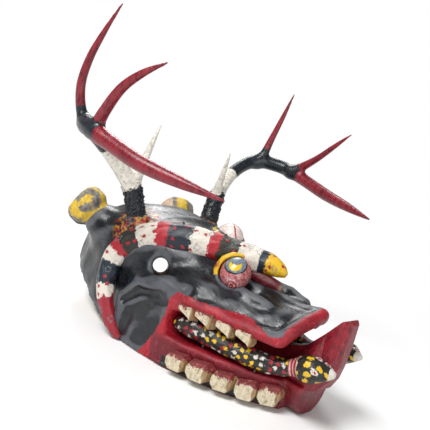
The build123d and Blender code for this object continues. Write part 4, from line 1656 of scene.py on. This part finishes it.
# Dark red enamel over knife cuts: dragged brush lines lie along the tongue, pale pink speckles all
# over it are painted sheen, and the square cut at the tip is wet-looking, with a brighter red painted on it
# as its highlight.
tongue_paint, t, spot, shader = finish("brushed_red_enamel_on_wood")
lines = node(
    t, "ShaderNodeTexNoise",
    Vector=node(t, "ShaderNodeVectorMath", {"operation": "DIVIDE"}, i0=spot, i1=(1, 4, 4)),
    Scale=1 / (2.0 * MM), Detail=4, Roughness=0.65,
).outputs[0]
fine = node(
    t, "ShaderNodeTexNoise",
    Vector=node(t, "ShaderNodeVectorMath", {"operation": "DIVIDE"}, i0=spot, i1=(1, 3, 3)),
    Scale=1 / (0.9 * MM), Detail=3, Roughness=0.6,
).outputs[0]
red = node(
    t, "ShaderNodeMix", {"data_type": "RGBA"}, i0=node(t, "ShaderNodeMapRange", i0=lines, i1=0.34, i2=0.62),
    i6="#560f1b", i7="#8f1b28",
).outputs[2]
# painted sheen: pale pink speckles scattered all over the tongue
red = node(
    t, "ShaderNodeMix", {"data_type": "RGBA"},
    i0=node(
        t, "ShaderNodeMath", {"operation": "MULTIPLY"},
        i0=node(t, "ShaderNodeMapRange", i0=fine, i1=0.58, i2=0.72), i1=0.45,
    ),
    i6=red, i7="#b0606a",
).outputs[2]
# painted highlight: the square cut at the tip is given an even, brighter red
red = node(
    t, "ShaderNodeMix", {"data_type": "RGBA"},
    i0=node(
        t, "ShaderNodeMapRange",
        i0=node(t, "ShaderNodeAttribute", {"attribute_name": "tip"}).outputs["Fac"], i1=9, i2=8,
    ),
    i6=red, i7="#96121c",
).outputs[2]
t.links.new(red, shader.inputs["Base Color"])
wet = node(
    t, "ShaderNodeMapRange", i0=node(t, "ShaderNodeAttribute", {"attribute_name": "tip"}).outputs["Fac"],
    i1=8, i2=9,
).outputs[0]
t.links.new(
    node(t, "ShaderNodeMath", {"operation": "MULTIPLY_ADD"}, i0=wet, i1=0.22, i2=0.16).outputs[0],
    shader.inputs["Roughness"],
)
marks = node(t, "ShaderNodeBump", Height=lines, Distance=0.5 * MM)
marks = node(t, "ShaderNodeBump", Height=fine, Distance=0.12 * MM, Normal=marks)
t.links.new(marks.outputs[0], shader.inputs["Normal"])
piece("tongue_slab", mesh, tongue_paint, "tongue_paint", "tongue")

# ---------------------------------------------------------------- upper and lower teeth
# Rows of teeth whittled on strips of wood that are let into the jaws: five broad blocks below, cut
# away on the side towards the chin, and four saw-shaped ones above. Cream paint, bare wood on the cuts.
LOWER_TEETH = [(-84, -68), (-77, -91), (-66, -112), (-53, -131), (-37, -147)]
UPPER_TEETH = {
    -1: [(-77, -57), (-73, -77), (-66, -97), (-58.5, -116)],
    1: [(75, -50), (65, -67), (53, -84), (40, -101)],
}
# a tooth's outline as it stands on the jaw: along the jaw, and up
LOWER_SHAPE = [(-13, 2), (-10, 8), (7, 10), (13, 6), (13, 0), (9.5, -7), (4, -9), (-8, -9.3), (-12.5, -4)]
UPPER_SHAPE = [(-10.5, 6), (10, 7), (10.8, -3), (9, -7), (3, -4.5), (-10, 0.5)]
tooth_paint, t, spot, shader = finish("chalky_paint_on_whittled_wood")
grain = node(
    t, "ShaderNodeTexNoise",
    Vector=node(t, "ShaderNodeVectorMath", {"operation": "DIVIDE"}, i0=spot, i1=(1, 1, 4)),
    Scale=1 / (1.8 * MM), Detail=4, Roughness=0.65,
).outputs[0]
cream = node(
    t, "ShaderNodeMix", {"data_type": "RGBA"},
    i0=node(
        t, "ShaderNodeMapRange",
        i0=node(t, "ShaderNodeTexNoise", Vector=spot, Scale=1 / (4 * MM), Detail=5, Roughness=0.7), i1=0.34,
        i2=0.5,
    ),
    i6="#8f8268", i7="#cdbfa2",
).outputs[2]
cream = node(
    t, "ShaderNodeMix", {"data_type": "RGBA"}, i0=node(t, "ShaderNodeMapRange", i0=grain, i1=0.5, i2=0.7),
    i6=cream, i7="#ddd4c0",
).outputs[2]
tan = node(
    t, "ShaderNodeMix", {"data_type": "RGBA"}, i0=node(t, "ShaderNodeMapRange", i0=grain, i1=0.35, i2=0.65),
    i6="#7d6140", i7="#ac9064",
).outputs[2]
colour = node(
    t, "ShaderNodeMix", {"data_type": "RGBA"},
    i0=node(
        t, "ShaderNodeMapRange",
        i0=node(
            t, "ShaderNodeMath", {"operation": "ADD"},
            i0=node(t, "ShaderNodeAttribute", {"attribute_name": "cut_side"}).outputs["Fac"],
            i1=node(t, "ShaderNodeMath", {"operation": "MULTIPLY"}, i0=grain, i1=2.0),
        ),
        i1=8.2, i2=8.8,
    ),
    i6=cream, i7=tan,
).outputs[2]
gum = node(
    t, "ShaderNodeMath", {"operation": "ADD"},
    i0=node(t, "ShaderNodeAttribute", {"attribute_name": "gum"}).outputs["Fac"],
    i1=node(
        t, "ShaderNodeMath", {"operation": "MULTIPLY_ADD"},
        i0=node(t, "ShaderNodeTexNoise", Vector=spot, Scale=1 / (7 * MM), Detail=5, Roughness=0.75),
        i1=26.0, i2=-13.0,
    ),
).outputs[0]
smear = node(
    t, "ShaderNodeMix", {"data_type": "RGBA"}, i0=node(t, "ShaderNodeMapRange", i0=grain, i1=0.35, i2=0.6),
    i6="#52101c", i7="#8a1a28",
).outputs[2]
colour = node(
    t, "ShaderNodeMix", {"data_type": "RGBA"},
    i0=node(
        t, "ShaderNodeMath", {"operation": "MULTIPLY"},
        i0=node(t, "ShaderNodeMapRange", i0=gum, i1=4.6, i2=5.6), i1=0.95,
    ),
    i6=colour, i7=smear,
).outputs[2]
t.links.new(colour, shader.inputs["Base Color"])
shader.inputs["Roughness"].default_value = 0.62
marks = node(t, "ShaderNodeBump", Height=grain, Distance=0.6 * MM)
t.links.new(marks.outputs[0], shader.inputs["Normal"])


def tooth(work, shape, centre, ahead, out, deep, layers):
    """One tooth: its outline stands along the jaw and is as deep as given, its back left wider."""
    place = lambda a, u, o: metres(centre + ahead * a + np.array((0, 0, 1)) * u + out * o)
    back = [work.verts.new(place(a, u, -deep / 2)) for a, u in shape]
    front = [work.verts.new(place(a - max(a - 4, 0) * 0.62, u * 0.96, deep / 2)) for a, u in shape]
    work.faces.new(front)
    work.faces.new(back[::-1])
    for k in range(len(shape)):
        j = (k + 1) % len(shape)
        work.faces.new((back[k], back[j], front[j], front[k]))
    for v, (a, u) in zip(back + front, shape + shape):
        v[layers[0]], v[layers[1]] = a, u


for word, side in (("right", -1), ("left", 1)):
    lower = [(-side * x, y) for x, y in LOWER_TEETH]
    for jaw, places, shape, level, deep in (
        ("lower", lower, LOWER_SHAPE, 15.0, 10.0), ("upper", UPPER_TEETH[side], UPPER_SHAPE, 61.5, 9.5),
    ):
        work = bmesh.new()
        layers = [work.verts.layers.float.new(n) for n in ("cut_side", "gum")]
        for k, (x, y) in enumerate(places):
            before, after = places[max(k - 1, 0)], places[min(k + 1, len(places) - 1)]
            ahead = np.array((after[0] - before[0], after[1] - before[1], 0.0))
            ahead /= np.linalg.norm(ahead)
            out = np.array((ahead[1], -ahead[0], 0.0))
            out = out if out[0] * side > 0 else -out
            grow = 1 + 0.07 * math.sin(k * 2.3 + side)
            sized = [(a * grow, u * grow + 0.8 * math.sin(k * 1.7)) for a, u in shape]
            tooth(work, sized, np.array((x, y, level)) + out * 1.5, ahead, out, deep, layers)
        softened(work, 0.9)
        bmesh.ops.triangulate(work, faces=work.faces)
        mesh = bpy.data.meshes.new("teeth")
        work.to_mesh(mesh)
        work.free()
        piece(f"{word}_{jaw}_teeth_row", mesh, tooth_paint, "tooth_paint", f"{word}_{jaw}_teeth")

# ---------------------------------------------------------------- pegs and nails
# Whittled pegs through the antlers' tenons, the ears' necks and the tongue, and wire nails with small
# heads through the snakes. They are driven below the paint, so little of them shows.
peg_wood, t, spot, shader = finish("whittled_bare_wood")
grain = node(
    t, "ShaderNodeTexNoise",
    Vector=node(t, "ShaderNodeVectorMath", {"operation": "DIVIDE"}, i0=spot, i1=(1, 1, 8)),
    Scale=1 / (1.5 * MM), Detail=4, Roughness=0.6,
).outputs[0]
t.links.new(
    node(
        t, "ShaderNodeMix", {"data_type": "RGBA"},
        i0=node(t, "ShaderNodeMapRange", i0=grain, i1=0.35, i2=0.65), i6="#7d5f3c", i7="#b89767",
    ).outputs[2],
    shader.inputs["Base Color"],
)
t.links.new(
    node(t, "ShaderNodeMath", {"operation": "MULTIPLY_ADD"}, i0=grain, i1=0.2, i2=0.6).outputs[0],
    shader.inputs["Roughness"],
)
marks = node(t, "ShaderNodeBump", Height=grain, Distance=0.2 * MM)
t.links.new(marks.outputs[0], shader.inputs["Normal"])
nail_steel, t, spot, shader = finish("drawn_wire_gone_dull")
rust = node(t, "ShaderNodeTexNoise", Vector=spot, Scale=1 / (1.2 * MM), Detail=4, Roughness=0.7).outputs[0]
t.links.new(
    node(
        t, "ShaderNodeMix", {"data_type": "RGBA"},
        i0=node(t, "ShaderNodeMapRange", i0=rust, i1=0.5, i2=0.62), i6="#6e6c6a", i7="#5a4334",
    ).outputs[2],
    shader.inputs["Base Color"],
)
t.links.new(
    node(t, "ShaderNodeMath", {"operation": "MULTIPLY_ADD"}, i0=rust, i1=0.4, i2=0.25).outputs[0],
    shader.inputs["Roughness"],
)
shader.inputs["Metallic"].default_value = 0.85
for name in ("antler_pegs", "ear_pegs", "tongue_pegs", "brow_snake_nails", "mouth_snake_nails"):
    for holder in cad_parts[name].material_slots:
        holder.material = nail_steel if name.endswith("nails") else peg_wood
